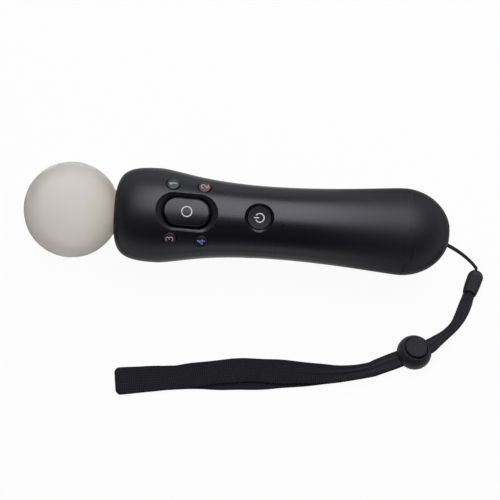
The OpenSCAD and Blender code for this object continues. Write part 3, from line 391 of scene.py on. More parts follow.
# %% [markdown]
# ## The webbing
# The wrist strap is one flat woven tape, folded in two: it leaves the sleeve, passes the lock, lies on the
# table, folds at the hand's end and comes back underneath. Near the lock it is gathered to half its width,
# which raises lengthwise folds. The weave itself is too fine for the mesh, so it is a pattern on the UV map:
# cross ribs 0.9 mm apart and fainter lengthwise rows 1.3 mm apart.

# %% Woven webbing finish
RIB_PITCH, WALE_PITCH = 0.9, 1.3
webbing_finish, tree, shader, where = start_finish(
    "polyester_webbing_woven", Roughness=0.82, Sheen_Weight=0.3, Sheen_Roughness=0.45,
    Sheen_Tint=linear("#9a9aa4"), Specular_IOR_Level=0.3)
uv = add(tree, "ShaderNodeUVMap").outputs[0]
across_mm, along_mm, _ = add(tree, "ShaderNodeSeparateXYZ", {}, {0: uv}).outputs


def stripes(tree, value, pitch):
    """0 to 1 ridges, one every pitch mm: 0.5 + 0.5 sin(2 pi value / pitch)."""
    angle = add(tree, "ShaderNodeMath", {1: 2 * np.pi / pitch}, {0: value}, operation="MULTIPLY").outputs[0]
    wave = add(tree, "ShaderNodeMath", {}, {0: angle}, operation="SINE").outputs[0]
    return add(tree, "ShaderNodeMath", {1: 0.5, 2: 0.5}, {0: wave}, operation="MULTIPLY_ADD").outputs[0]


# where the tape is pulled narrow, up to the lock, its ribs are drawn flat, and there its colour is painted
# lighter: painted light where the raised tape catches more of the lamp
slack_and_painted_light = add(tree, "ShaderNodeMapRange", {"From Min": 38, "From Max": 90, "To Min": 0.35},
            {"Value": along_mm}).outputs[0]
ribs = add(tree, "ShaderNodeMath", {}, {0: stripes(tree, along_mm, RIB_PITCH), 1: slack_and_painted_light},
           operation="MULTIPLY").outputs[0]
weave = add(tree, "ShaderNodeMath", {1: 0.45}, {0: stripes(tree, across_mm, WALE_PITCH), 2: ribs},
            operation="MULTIPLY_ADD").outputs[0]
fuzz = add(tree, "ShaderNodeTexNoise", {"Scale": 2.2, "Detail": 4.0}, {"Vector": where}).outputs["Fac"]
height = add(tree, "ShaderNodeMath", {1: 0.5}, {0: fuzz, 2: weave}, operation="MULTIPLY_ADD").outputs[0]
tone = add(tree, "ShaderNodeMapRange", {"From Min": 0.3, "From Max": 1.8}, {"Value": height}).outputs[0]
# painted light: the colour is raised up to the lock, standing in for the light that the raised tape catches
painted_light = add(tree, "ShaderNodeMath", {1: -1.1, 2: 1.1}, {0: slack_and_painted_light}, operation="MULTIPLY_ADD").outputs[0]
tone = add(tree, "ShaderNodeMath", {}, {0: tone, 1: painted_light}, operation="ADD").outputs[0]
two_tone(tree, shader, tone, "#111117", "#272730")
bump = add(tree, "ShaderNodeBump", {"Strength": 0.9, "Distance": 0.25 * MM}, {"Height": height})
tree.links.new(bump.outputs[0], shader.inputs["Normal"])

# %% Webbing route
LOCK_AT, LOCK_TURN, TAPE_ROLL = np.array([88.0, -56.1]), np.radians(204.5), 22.0
LOCK_DIR = np.array([np.cos(LOCK_TURN), np.sin(LOCK_TURN)])
PLUNGER_LOW, LOCK_PRESS, SPRING_LEFT = -2.55, 1.2, 1
LOCK_FLOOR = PLUNGER_LOW - LOCK_PRESS - SPRING_LEFT
LOCK_BASE, LOCK_BASE_R = LOCK_FLOOR - 0.85, 5.8
tilt = np.radians(TAPE_ROLL)
LOCK_Z = -LOCK_BASE * np.cos(tilt) + LOCK_BASE_R * np.sin(tilt) + 0.04


def at_lock(s, width=7.0):
    """A row of the tape on the straight line through the lock, s mm from its middle."""
    return [*(LOCK_AT + s * LOCK_DIR), LOCK_Z, width, 1.4, 0.9, 0, TAPE_ROLL]


tape_in = [SLEEVE_Z, 5.6, 1.2, 0.8, 0, 0]
# rows: x, y, z, width, thickness, half the distance of the two runs, sideways shift, roll
tape_rows = [
    [*(SLEEVE_AT + 7.8 * SLEEVE_DIR), *tape_in], [*(SLEEVE_AT + 13.4 * SLEEVE_DIR), *tape_in],
    [111.5, -32, 3.2, 6.2, 1.4, 0.9, 0, 2], [109.6, -36.9, 4, 5.8, 1.4, 0.9, 0, 6],
    [106.9, -41.7, 5, 4.7, 1.4, 0.9, 0, 11], [102.8, -46.1, 6, 4.5, 1.4, 0.9, 0, 16],
    [98.9, -49.4, 6.9, 5.6, 1.4, 0.9, 0, 20], [94.9, -52.5, LOCK_Z, 7.0, 1.4, 0.9, 0, TAPE_ROLL],
    at_lock(0, 7.4), at_lock(9.5, 7.9), at_lock(19, 7.4), at_lock(21.5),
    [61.2, -66.8, 6.2, 7, 1.35, 0.88, 0, 14], [52.4, -68, 4.6, 8, 1.25, 0.82, 0.3, 7],
    [43, -68.4, 3, 9.5, 1.05, 0.72, 0.9, 1], [30.6, -68.6, 2, 10.9, 0.9, 0.65, 1.9, 0],
    [19.6, -68.7, 1.7, 11.4, 0.9, 0.65, 3, 0], [8, -69, 1.5, 11.4, 0.9, 0.65, 3.9, 0],
    [-3.8, -70.7, 1.45, 11.4, 0.9, 0.65, 3, 0], [-15.1, -72.8, 1.4, 11.3, 0.9, 0.65, 1.4, 0],
    [-25, -74.7, 1.35, 11.3, 0.9, 0.65, 0.1, 0], [-35, -76, 1.3, 12.2, 0.9, 0.65, 0, 0],
    [-52, -78.3, 1.3, 13, 0.9, 0.65, 0, 0]]
tape = smooth_route(tape_rows, 16)
mid, width, thick, gap, shift = tape[:, :3], tape[:, 3:4], tape[:, 4:5], tape[:, 5:6], tape[:, 6:7]
heading = unit(np.column_stack([np.gradient(tape[:, :2], axis=0), np.zeros(len(tape))]))
level, roll = np.cross(up, heading), np.radians(tape[:, 7:8])
side, top = np.cos(roll) * level + np.sin(roll) * up, np.cos(roll) * up - np.sin(roll) * level
fold_a = np.linspace(0, np.pi, 13)[1:-1, None]
fold_top = np.cos(fold_a) * up + np.sin(fold_a) * heading[-1:]
fold_mid = mid[-1:] + gap[-1] * fold_top


def out_and_back(column):
    """A column of the tape's rows: out, round the fold at the hand's end, and back."""
    return np.concatenate([column, np.repeat(column[-1:], len(fold_a), 0), column[::-1]])


run_mid = np.concatenate([mid + top * gap, fold_mid, (mid - top * gap + side * shift)[::-1]])
run_top = np.concatenate([top, fold_top, -top[::-1]])
run_side, run_w, run_t = (out_and_back(column) for column in (side, width, thick))
run_s = run_length(run_mid)

# %% Webbing mesh
END_R, FLAT_N, TAPE_W = 1.8, 33, 13.0
# the folded end has round corners: the half width shrinks by r - sqrt(r^2 - (r - d)^2) at d mm from the end
from_end = ((run_mid - run_mid[len(tape) + len(fold_a) // 2]) @ heading[-1])[:, None]
near_end = np.clip(1 + from_end / END_R, 0, 1)
run_w = run_w - 2 * END_R * (1 - np.sqrt(1 - near_end**2 * 0.98))
# the tape's section: a flat top and bottom with half-round edges, as across and high from -1 to 1
edge_up = np.sin(np.radians(np.linspace(-90, 90, 7)))[1:-1]
flat = np.linspace(-1, 1, FLAT_N)
across = np.concatenate([flat, np.ones(len(edge_up)), flat[::-1], -np.ones(len(edge_up))])
high = np.concatenate([np.ones(FLAT_N), -edge_up, -np.ones(FLAT_N), edge_up])
bulge = np.sqrt(np.maximum(0, 1 - high**2))


def crease(depth, place, half):
    """A pinched fold along the tape: depth times exp(-((across - place) / half)^2)."""
    return depth * np.exp(-(((across - place) / half) ** 2))


gather = np.clip((11 - run_w) / 4, 0, 1) * (from_end < -8)
folds = 0.25 * np.cos(across * 1.9 * np.pi + 0.6) - crease(0.45, 0.15, 0.11) - crease(0.35, -0.5, 0.12)
folds = gather * folds * (1 - across**4) * (high > 0.99)
row = np.arange(len(run_mid))[:, None]
edge_wave = 0.12 * np.sin(row * 0.21) + 0.08 * np.sin(row * 0.083 + 1)
edge_r = run_t * 0.35
reach = (run_w / 2 - edge_r + edge_wave * (1 - gather)) * across + np.sign(across) * bulge * edge_r
rise = run_t / 2 * high * (1 - 0.12 * np.abs(across) ** 6) + folds
webbing_rings = run_mid[:, None] + reach[..., None] * run_side[:, None] + rise[..., None] * run_top[:, None]
tape_u = np.append(across, across[0]) * TAPE_W / 2
webbing = make_piece("wrist_strap_webbing", *loft(webbing_rings), "wand", ["wrist_strap"], "black_webbing",
                     webbing_finish, loft_uv(tape_u, run_s))

# %% [markdown]
# ## Openings in a moulded skin
# The housing is a thin skin with openings whose edges are rounded, as every moulding has. The skin is a fine
# grid. Where a grid line crosses an opening's outline, the nearer grid point is moved onto the outline,
# so the outline is met exactly. The cells inside are left out, and every edge that is left open is carried on
# by the rounded edge, the wall of the opening and the skin's own inside, so the shell stays closed.


# %% Pierced skin
FAR = 1e3


def box_distance(p, q, bx, by, r):
    """Signed distance to a rounded rectangle: length(max(d, 0)) + min(max(d), 0) - r with d = |p| - b + r.
    r is one radius, or a pair for the -p end and the +p end."""
    r = np.where(p < 0, r[0], r[1]) if isinstance(r, tuple) else r
    dx, dy = np.abs(p) - bx + r, np.abs(q) - by + r
    return np.hypot(np.maximum(dx, 0), np.maximum(dy, 0)) + np.minimum(np.maximum(dx, dy), 0) - r


def outward_step(p, q, shape, h=1e-3):
    """Unit gradient of the distance, from central differences."""
    g = np.stack([box_distance(p + h, q, *shape) - box_distance(p - h, q, *shape),
                  box_distance(p, q + h, *shape) - box_distance(p, q - h, *shape)], -1)
    return g / np.maximum(np.linalg.norm(g, axis=-1, keepdims=True), 1e-9)


def opening(axes, centre, shape, steps, skin, floor=None, stretch=1):
    """An opening: axes (rows p, q, n), a centre (p, q), a shape, skin(p, q) giving the height along n, and
    steps (inset, share of the way to floor(p, q), further drop) that lead from its outline inwards; stretch
    lengthens the insets along p."""
    return {"axes": np.array(axes), "centre": centre, "shape": shape, "steps": steps, "skin": skin,
            "floor": floor, "stretch": stretch}


def in_opening(o, points):
    """Points in an opening's own directions: p and q from its centre, and n."""
    p, q, n = (points @ o["axes"].T).T
    return p - o["centre"][0], q - o["centre"][1], n


def pierced_shell(grid, openings, inner=None):
    """A skin grid (rows, columns, 3) with openings and thickness, as points and triangles. The inside is the
    skin moved in by the wall; a grid that closes on itself brings its own inside as the grid inner."""
    nu, nv = grid.shape[:2]
    skin = grid.reshape(-1, 3).copy()
    dist, which = np.full(len(skin), FAR), np.zeros(len(skin), int)
    for number, o in enumerate(openings):
        p, q, n = in_opening(o, skin)
        s = np.where(n > 0, box_distance(p, q, *o["shape"]), FAR)
        which = np.where(s < dist, number, which)
        dist = np.minimum(s, dist)
    # the columns that have a neighbour to the right, and those neighbours
    index = np.arange(nu * nv).reshape(nu, nv)
    left, right = index, np.roll(index, -1, 1)
    if inner is None:
        left, right = left[:, :-1], right[:, :-1]
    a = np.concatenate([index[:-1].ravel(), left.ravel()])
    b = np.concatenate([index[1:].ravel(), right.ravel()])
    crossing = dist[a] * dist[b] < 0
    nearer = np.where(np.abs(dist[a]) < np.abs(dist[b]), a, b)[crossing]
    dist[nearer] = 0
    on_edge = np.zeros(len(skin), bool)
    on_edge[nearer] = True
    for number, o in enumerate(openings):
        mine = np.flatnonzero(on_edge & (which == number))
        p, q, n = in_opening(o, skin[mine])
        for _ in range(3):
            g, s = outward_step(p, q, o["shape"]), box_distance(p, q, *o["shape"])
            p, q = p - g[:, 0] * s, q - g[:, 1] * s
        p, q = p + o["centre"][0], q + o["centre"][1]
        skin[mine] = np.stack([p, q, o["skin"](p, q)], -1) @ o["axes"]
    a, b, c, d = left[:-1].ravel(), left[1:].ravel(), right[1:].ravel(), right[:-1].ravel()
    other = (dist[a] * dist[c] < 0)[:, None]
    tri = np.concatenate([np.where(other, np.stack([a, b, d], -1), np.stack([a, b, c], -1)),
                          np.where(other, np.stack([b, c, d], -1), np.stack([a, c, d], -1))])
    tri = tri[dist[tri].max(1) > 0]
    if inner is None:
        normal = np.cross(np.gradient(grid, axis=0), np.gradient(grid, axis=1))
        normal /= np.maximum(np.linalg.norm(normal, axis=-1, keepdims=True), 1e-9)
        inner = skin - WALL * normal.reshape(-1, 3)
    points, inside = [skin, inner.reshape(-1, 3)], len(skin)
    edges = np.concatenate([tri[:, [0, 1]], tri[:, [1, 2]], tri[:, [2, 0]]])
    key, back_key = edges @ [inside, 1], edges @ [1, inside]
    edges = edges[~np.isin(key, back_key)]
    rim = on_edge[edges].all(1)

    def wall_between(pairs, outer, further):
        """Quads from the points outer to the points further over pairs of their places."""
        first, second = pairs.T
        return np.stack([outer[second], outer[first], further[first], further[second]], -1)

    number_of = np.arange(2 * inside)
    walls = [wall_between(edges[~rim], number_of, number_of[inside:])]
    count = 2 * inside
    for number, o in enumerate(openings):
        mine = edges[rim & (which[edges[:, 0]] == number)]
        if not len(mine):
            continue
        loop, pairs = np.unique(mine, return_inverse=True)
        pairs = pairs.reshape(-1, 2)
        p, q, n = in_opening(o, skin[loop])
        g = outward_step(p, q, o["shape"])
        level = loop
        for inset, share, drop in o["steps"]:
            pp = p - g[:, 0] * inset * o["stretch"] + o["centre"][0]
            qq = q - g[:, 1] * inset + o["centre"][1]
            z = o["skin"](pp, qq)
            z = z + share * (o["floor"](pp, qq) - z) - drop if share else z - drop
            points.append(np.stack([pp, qq, z], -1) @ o["axes"])
            fresh = count + np.arange(len(loop))
            walls.append(wall_between(pairs, level, fresh))
            level, count = fresh, count + len(loop)
        walls.append(wall_between(pairs, level, loop + inside))
    points = np.concatenate(points)
    faces = [np.concatenate([tri, tri[:, ::-1] + inside]), np.concatenate(walls)]
    used = np.unique(np.concatenate([f.ravel() for f in faces]))
    renumber = np.zeros(len(points), int)
    renumber[used] = np.arange(len(used))
    return points[used], [renumber[f] for f in faces]


def edge_steps(r):
    """Rounded edge of radius r as steps of an opening: inset r sin a, drop r (1 - cos a)."""
    return [(r * np.sin(a), 0, r * (1 - np.cos(a))) for a in np.radians([22.5, 45, 67.5, 90])]


def hole_steps(edge, depth):
    """Rounded edge, straight wall to a depth, and back out to a thin tube's outside."""
    return edge_steps(edge) + [(edge, 0, depth), (0.0, 0, depth)]


def flat_floor(level):
    """The floor of an opening at one height."""
    return lambda p, q: np.full_like(p, level)


# %% [markdown]
# ## The housing
# Two half shells and an end cap share one turned outline: a rounded head, a slim waist and a full base. The
# outline is three Bezier curves and a dome, as in the solids, but sampled finely, so that the long highlight
# runs without bands. The shells are satin black ABS with a fine moulded grain, slightly bluish, which gives
# a soft, broad reflection and tiny sparkles in it.


# %% Satin black finish
def satin_black(name, dark, light, rough, size, height, shine=0.5):
    """Black ABS from a grained mould: lumps size mm apart, drawn coarse enough to show. The hand polishes the
    waist, so the roughness grows away from it. The grain hides itself at a slant, so the gloss fades towards
    the outline: a facing weight lowers the specular level."""
    made, tree, shader, where = start_finish(name, IOR=1.53, Specular_IOR_Level=0.4,
                                             Specular_Tint=(0.91, 0.915, 1.0, 1))
    noise = grain(tree, shader, where, size, height)
    ends = {"From Min": 0.3, "From Max": 0.7, "To Min": rough[0], "To Max": rough[1]}
    spread = add(tree, "ShaderNodeMapRange", ends, {"Value": noise}).outputs[0]
    along = add(tree, "ShaderNodeSeparateXYZ", {}, {0: where}).outputs[0]
    offset = add(tree, "ShaderNodeMath", {1: 5.0}, {0: along}, operation="SUBTRACT").outputs[0]
    from_waist = add(tree, "ShaderNodeMath", {}, {0: offset}, operation="ABSOLUTE").outputs[0]
    unworn = add(tree, "ShaderNodeMapRange", {"From Min": 15, "From Max": 75, "To Max": 0.26},
                 {"Value": from_waist}, interpolation_type="SMOOTHSTEP").outputs[0]
    total = add(tree, "ShaderNodeMath", {}, {0: spread, 1: unworn}, operation="ADD").outputs[0]
    tree.links.new(total, shader.inputs["Roughness"])
    cloud = add(tree, "ShaderNodeTexNoise", {"Scale": 1 / 14, "Detail": 3.0}, {"Vector": where})
    two_tone(tree, shader, cloud.outputs["Fac"], dark, light)
    slant = add(tree, "ShaderNodeLayerWeight", {"Blend": 0.5}).outputs["Facing"]
    ends = {"From Min": 0.08, "From Max": 0.6, "To Min": shine, "To Max": 0.06}
    gloss = add(tree, "ShaderNodeMapRange", ends, {"Value": slant}).outputs[0]
    tree.links.new(gloss, shader.inputs["Specular IOR Level"])
    return made


housing_black = satin_black("abs_black_satin", "#111117", "#14141b", (0.23, 0.33), 0.4, 0.022)


# %% Turned outline
def bezier(p0, p1, p2, p3, n=260):
    """Cubic Bezier curve: (1-t)^3 p0 + 3(1-t)^2 t p1 + 3(1-t) t^2 p2 + t^3 p3."""
    t = np.linspace(0, 1, n)[:, None]
    p0, p1, p2, p3 = np.array([p0, p1, p2, p3])
    return (1 - t) ** 3 * p0 + 3 * (1 - t) ** 2 * t * p1 + 3 * (1 - t) * t**2 * p2 + t**3 * p3


def dome_radius(x):
    """Radius of the base's dome, an ellipse: R sqrt(1 - ((x - x0) / L)^2)."""
    return BASE_R * np.sqrt(np.maximum(0, 1 - ((x - BASE_X) / DOME) ** 2))


dome_x = np.linspace(BASE_X, SEAM_X, 12)[1:]
outline = np.concatenate([
    bezier((RIM_X, RIM_R), (RIM_X + 1.5, RIM_R + 9), (HEAD_X - 15, HEAD_R), (HEAD_X, HEAD_R))[:-1],
    bezier((HEAD_X, HEAD_R), (HEAD_X + 8.5, HEAD_R), (WAIST_X - 33, WAIST_R), (WAIST_X, WAIST_R))[:-1],
    bezier((WAIST_X, WAIST_R), (WAIST_X + 30, WAIST_R), (BASE_X - 6, BASE_R), (BASE_X, BASE_R)),
    np.stack([dome_x, dome_radius(dome_x)], -1)])


def skin_radius(x):
    """Radius of the housing up to the cap's joint, read from the outline."""
    return np.interp(x, outline[:, 0], outline[:, 1])


def tilt_joint(p):
    """Moves points near the cap's joint along the axis, most at the joint and not at all 12 mm away, so that
    the joint leans by 0.12 mm for each mm of height; the radius keeps to the outline."""
    def full(x):
        return np.where(x < BASE_X, skin_radius(np.minimum(x, BASE_X)), dome_radius(np.maximum(x, BASE_X)))

    x, z = p[..., 0], p[..., 2]
    near = np.clip(1 - np.abs(x - SEAM_X) / 12, 0, 1)
    moved = x + near**2 * (3 - 2 * near) * (0.12 * z - 1.8)
    scale = full(moved) / np.maximum(full(x), 1)
    return np.stack([moved, p[..., 1] * scale, z * scale], -1)


def housing_piece(name, grid, openings, node):
    """Pierces a skin of the housing, leans its joint and puts it in the place of its solid."""
    points, faces = pierced_shell(grid, openings)
    make_piece(name, lie(tilt_joint(points)), faces, "wand", [node], "black_housing", housing_black)


print("outline:", len(outline), "points, radius", WAIST_R, "to", HEAD_R, "mm")

# %% Half skins
LIP, JOINT_EDGE = 0.6, 5


def stations(dense):
    """Outline points 1.5 mm apart, or closer inside the dense spans (from, to, spacing), with rounded end
    edges."""
    step = np.full(len(outline), 1.5)
    for x0, x1, spacing in dense:
        step = np.where((outline[:, 0] > x0) & (outline[:, 0] < x1), spacing, step)
    run = np.concatenate([[0], np.cumsum(np.linalg.norm(np.diff(outline, axis=0), axis=1) / step[1:])])
    start = np.interp(RIM_R + LIP, outline[:300, 1], run[:300])
    count = np.linspace(start, np.interp(SEAM_X - 0.35, outline[:, 0], run), int(run[-1] - start))
    body = np.stack([np.interp(count, run, outline[:, k]) for k in (0, 1)], -1)
    a = np.radians(np.linspace(90, 0, 7))[:-1, None]
    lip = body[:1] + [[LIP, 0]] - LIP * np.concatenate([np.cos(a), np.sin(a)], 1)
    r_end = skin_radius(SEAM_X)
    seam = np.array([[SEAM_X - 0.2, r_end - 0.005], [SEAM_X - 0.1, r_end - 0.03],
                     [SEAM_X - 0.04, r_end - 0.08], [SEAM_X, r_end - 0.2], [SEAM_X, r_end - 1.4]])
    return np.concatenate([[[RIM_X + 2.6, RIM_R]], lip, body, seam])


def groove(cosine):
    """How open the cap's joint is: a hairline within 50 degrees of the front, open from 57 degrees on."""
    return np.clip((0.64 - cosine) / 0.1, 0.05, 1)


def half_skin(rows, middle, columns):
    """Half a turned skin about an angle: points (x, r sin a, r cos a), dipped by 0.08 mm at its joint. The
    last rows but one go down into the groove of the cap's joint, or on to the cap where it is closed."""
    near = np.radians([0, 0.1, 0.25, 0.45, 0.75, 1.1])
    a = np.linspace(-np.pi / 2, np.pi / 2, columns)[2:-2]
    a = np.concatenate([near - np.pi / 2, a, np.pi / 2 - near[::-1]]) + middle
    gap = (np.pi / 2 - np.abs(a - middle)) * 20
    dip = 0.08 * np.exp(-((gap / 0.12) ** 2))
    x, r = (np.repeat(rows[:, k, None], len(a), 1) for k in (0, 1))
    seam, open_by, r_end = slice(-JOINT_EDGE, -1), groove(np.cos(a))[None], skin_radius(SEAM_X)
    x[seam] = SEAM_X + 0.14 * (1 - open_by) - (SEAM_X - x[seam]) * open_by
    r[seam] = r_end - (r_end - r[seam]) * open_by
    r = r - dip[None]
    return np.stack([x, r * np.sin(a), r * np.cos(a)], -1)


def turned_axes(turn):
    """Directions along the wand, round it and outwards, turned by an angle about its axis."""
    return np.array([[1, 0, 0], [0, np.cos(turn), -np.sin(turn)], [0, np.sin(turn), np.cos(turn)]])


def round_skin(p, q):
    """Height of the housing's skin over its axis: sqrt(R(p)^2 - q^2)."""
    return np.sqrt(np.maximum(1, skin_radius(p) ** 2 - q**2))


# %% Front shell
OVAL_X, OVAL_L, OVAL_W, GAP = 54.6, 21.4, 13.0, 0.3
ACTION_X, ACTION_PITCH, ACTION_Y, ACTION_R, ACTION_LEAN = 54.65, 14.5, 12.7, 3.0, np.radians(25)
HOME_X, HOME_R, DISH_R, DISH_DEPTH, DISH_EDGE = 88.1, 5.45, 6.75, 1.9, 0.1
MOAT_L, MOAT_W = 29.0, 17.8
well, well_end = (MOAT_W - OVAL_W) / 2 - GAP, (MOAT_L - OVAL_L) / 2 - GAP
# the border falls from a tight edge in one slope to the button's hole, so its upper side stays black
moat_steps = [(inset, 0, drop) for inset, drop in [
    (0.06, 0.03), (0.14, 0.1), (0.27, 0.25), (0.42, 0.42), (0.6, 0.58), (0.95, 0.84), (1.3, 1.11), (1.5, 1.3),
    (1.75, 1.6), (well - 0.12, 1.9), (well - 0.03, 2.05), (well, 2.2), (well, 5.0), (0.0, 5.0)]]
dish_level = skin_radius(HOME_X) - DISH_DEPTH
dish_in = DISH_R + DISH_EDGE - HOME_R - 0.18
dish_steps = [(inset, share, 0) for inset, share in [
    (0.05, 0.012), (0.12, 0.06), (0.2, 0.17), (0.3, 0.33), (0.5, 0.58), (0.8, 0.8), (1.05, 0.935),
    (1.18, 0.99)]]
dish_steps += [(dish_in - 0.06, 1, 0.02), (dish_in, 1, 0.15), (dish_in, 1, 3.0), (0.2, 1, 3.0)]
front_openings = [
    opening(turned_axes(0), (OVAL_X, 0), (MOAT_L / 2, MOAT_W / 2, MOAT_W / 2), moat_steps, round_skin,
            stretch=well_end / well),
    opening(turned_axes(0), (HOME_X, 0), (DISH_R + DISH_EDGE,) * 3, dish_steps, round_skin,
            flat_floor(dish_level))]
action_place = []
for row, side_y in [(-1, 1), (1, 1), (-1, -1), (1, -1)]:
    x = ACTION_X + row * ACTION_PITCH / 2
    r = skin_radius(x)
    turn = side_y * ACTION_LEAN
    q = r * np.sin(side_y * np.arcsin(ACTION_Y / r) - turn)
    action_place.append((x, turn, q))
    front_openings.append(opening(turned_axes(turn), (x, q), (ACTION_R + 0.4,) * 3, hole_steps(0.14, 3.0),
                                  round_skin))
front_rows = stations([(38.5, 71, 0.32), (80, 97, 0.4)])
housing_piece("housing_front", half_skin(front_rows, 0.0, 190), front_openings, "front_shell")

# %% [markdown]
# ## The rear shell
# The underside has the trigger's long opening, square towards the head and round towards the fingertip, the
# two slots of the side buttons and four sunk screws. They are openings in the same kind of skin.

# %% Rear shell
PIVOT_X, PIVOT_Z, TRIGGER_W, TRIGGER_BACK, TRIGGER_REACH = 47.5, -HEAD_R + 6.9, 14.2, 4, 35
TRIGGER_GAP, SLOT_EDGE = 0.4, 0.5
SLOT0, SLOT1 = PIVOT_X - TRIGGER_BACK - TRIGGER_GAP, PIVOT_X + TRIGGER_REACH + TRIGGER_GAP
slot_by = TRIGGER_W / 2 + TRIGGER_GAP + SLOT_EDGE
slot_shape = ((SLOT1 - SLOT0) / 2 + SLOT_EDGE, slot_by, (2.9 + SLOT_EDGE, slot_by))
rear_openings = [opening(turned_axes(np.pi), ((SLOT0 + SLOT1) / 2, 0), slot_shape, hole_steps(SLOT_EDGE, 3.2),
                         round_skin)]
SIDE_X, SIDE_L, SIDE_W, SIDE_DROP, SIDE_EDGE = 83.5, 8.0, 3.2, 3.5, 0.25
side_room = GAP + SIDE_EDGE
for side_y in (1, -1):
    rear_openings.append(opening(
        turned_axes(side_y * np.pi / 2), (SIDE_X, side_y * SIDE_DROP),
        (SIDE_L / 2 + side_room, SIDE_W / 2 + side_room, SIDE_W / 2 + side_room), hole_steps(SIDE_EDGE, 3.0),
        round_skin))
SCREW_HOLE_R, SCREW_DEPTH, SCREW_EDGE, SCREW_SEAT = 2.4, 3.0, 0.25, 1.35
screw_steps = [(0.05, 0, 0.01), (0.15, 0, 0.06), (0.22, 0, 0.15), (SCREW_EDGE, 0, 0.3), (SCREW_EDGE, 1, 0),
               (SCREW_SEAT, 1, 0), (SCREW_SEAT, 1, 1.0), (0.0, 1, 1.0)]
for x, y in [(HEAD_X - 4.5, 9.5), (HEAD_X - 4.5, -9.5), (SIDE_X + 5.5, 0), (BASE_X - 9.5, 0)]:
    level = np.sqrt(skin_radius(x) ** 2 - y**2) - SCREW_DEPTH
    rear_openings.append(opening(turned_axes(np.pi), (x, -y), (SCREW_HOLE_R + SCREW_EDGE,) * 3, screw_steps,
                                 round_skin, flat_floor(level)))
rear_rows = stations([(31.5, 93.5, 0.42), (142, 150, 0.42)])
housing_piece("housing_rear", half_skin(rear_rows, np.pi, 165), rear_openings, "rear_shell")

# %% [markdown]
# ## The end cap
# The round base is a cap of its own with a fine joint. Its openings lie round the very end, where a turned
# grid would pinch, so the cap is a square grid that is bent into a disc and then laid over the dome.


# %% End cap
def disc_grid(n):
    """Square grid bent to a unit disc: the larger coordinate becomes the radius, the ratio the angle."""
    u, v = np.meshgrid(np.linspace(-1, 1, n), np.linspace(-1, 1, n), indexing="ij")
    wide = np.abs(u) > np.abs(v)
    big = np.where(wide, u, v)
    ratio = np.where(wide, v, u) / np.where(big == 0, 1, big)
    angle = np.where(wide, np.pi / 4 * ratio, np.pi / 2 - np.pi / 4 * ratio)
    return np.abs(big), np.arctan2(big * np.sin(angle), big * np.cos(angle))


def dome_height(p, q):
    """Height of the cap's end over the base: flat in the middle, then the dome's ellipse."""
    r = np.hypot(p, q)
    return np.where(r < FLAT_R, END_X, BASE_X + DOME * np.sqrt(np.maximum(0, 1 - (r / BASE_R) ** 2)))


CAP_X0, DOME_RINGS = SEAM_X + 0.15, 78
LAST_RING = DOME_RINGS + 4
r_end = dome_radius(CAP_X0)
angle = np.linspace(np.arcsin(BASE_L / DOME), np.arcsin((CAP_X0 + 0.3 - BASE_X) / DOME), 200)
cap_line = np.concatenate([
    np.stack([np.full(40, END_X), np.linspace(0, FLAT_R, 41)[:-1]], -1),
    np.stack([BASE_X + DOME * np.sin(angle), BASE_R * np.cos(angle)], -1),
    [[CAP_X0 + 0.1, r_end - 0.02], [CAP_X0 + 0.03, r_end - 0.08], [CAP_X0, r_end - 0.2],
     [CAP_X0, r_end - 1.2]]])
run = run_length(cap_line)
share, angle = disc_grid(2 * LAST_RING + 1)
# the rings of the grid: even ones over the dome, then one at each row of the joint's edge
ring_run = np.concatenate([np.linspace(0, run[-6], DOME_RINGS), run[-5:]])
ring_number = np.rint(share * LAST_RING).astype(int)
cap_x, cap_r = (np.interp(ring_run, run, cap_line[:, k])[ring_number] for k in (0, 1))
edge_ring, open_by = (ring_number > DOME_RINGS) & (ring_number < LAST_RING), groove(np.sin(angle))
cap_x = np.where(edge_ring, CAP_X0 + (cap_x - CAP_X0) * open_by, cap_x)
cap_r = np.where(edge_ring, r_end - (r_end - cap_r) * open_by, cap_r)
cap_grid = np.stack([cap_x, cap_r * np.cos(angle), cap_r * np.sin(angle)], -1)


def end_opening(centre, half_l, half_h, r, edge, steps, floor=None):
    """An opening seen from the wand's end, wider than its hole by the rounded edge."""
    return opening([[0, 1, 0], [0, 0, 1], [1, 0, 0]], centre, (half_l + edge, half_h + edge, r), steps,
                   dome_height, floor)


SOCKET_EDGE, CONTACT_EDGE, POCKET_EDGE = 0.2, 0.15, 0.35
CONTACT_R, CONTACT_Y, POCKET_W = 1.3, 8.6, 7.0
POCKET_H = 2 * LOOP_R + CORD_D + 0.8
pocket_x = BAR_X - LOOP_R - CORD_D / 2 - 0.3
pocket_steps = edge_steps(POCKET_EDGE) + [(POCKET_EDGE, share, 0) for share in (0.3, 0.7, 1)] + [
    (0.8, 1, 0), (3.4, 1, 0), (3.4, 1, 0.6), (0.0, 1, 0.6)]
cap_openings = [
    end_opening((0, 0), 4.0, 2.1, 0.7, SOCKET_EDGE, hole_steps(SOCKET_EDGE, 2.6)),
    end_opening((0, -6.7), 6.15, 2.35, 0.6, SOCKET_EDGE, hole_steps(SOCKET_EDGE, 4.0)),
    *(end_opening((y, 0), CONTACT_R, CONTACT_R, CONTACT_R + CONTACT_EDGE, CONTACT_EDGE,
                  hole_steps(CONTACT_EDGE, 2.6)) for y in (CONTACT_Y, -CONTACT_Y)),
    end_opening((0, BAR_Z), POCKET_W / 2, POCKET_H / 2, 0.8, POCKET_EDGE, pocket_steps, flat_floor(pocket_x))]
housing_piece("housing_end_cap", cap_grid, cap_openings, "end_cap")

# %% [markdown]
# ## The buttons
# Each button is a stack of rings: a straight wall that stands in its hole, a rounded edge and a top. The
# oval button's top follows the housing's own curve, the round ones are slightly domed and the home button is
# dished. They are smoother than the housing, so they catch tighter highlights.

# %% Button finishes
button_black = satin_black("abs_black_smooth", "#121216", "#15151a", (0.24, 0.34), 0.38, 0.012)
home_black = satin_black("abs_black_matte", "#141418", "#18181c", (0.46, 0.58), 0.38, 0.02, 0.26)
action_grey = satin_black("abs_charcoal_smooth", "#212125", "#27272c", (0.3, 0.4), 0.38, 0.012)


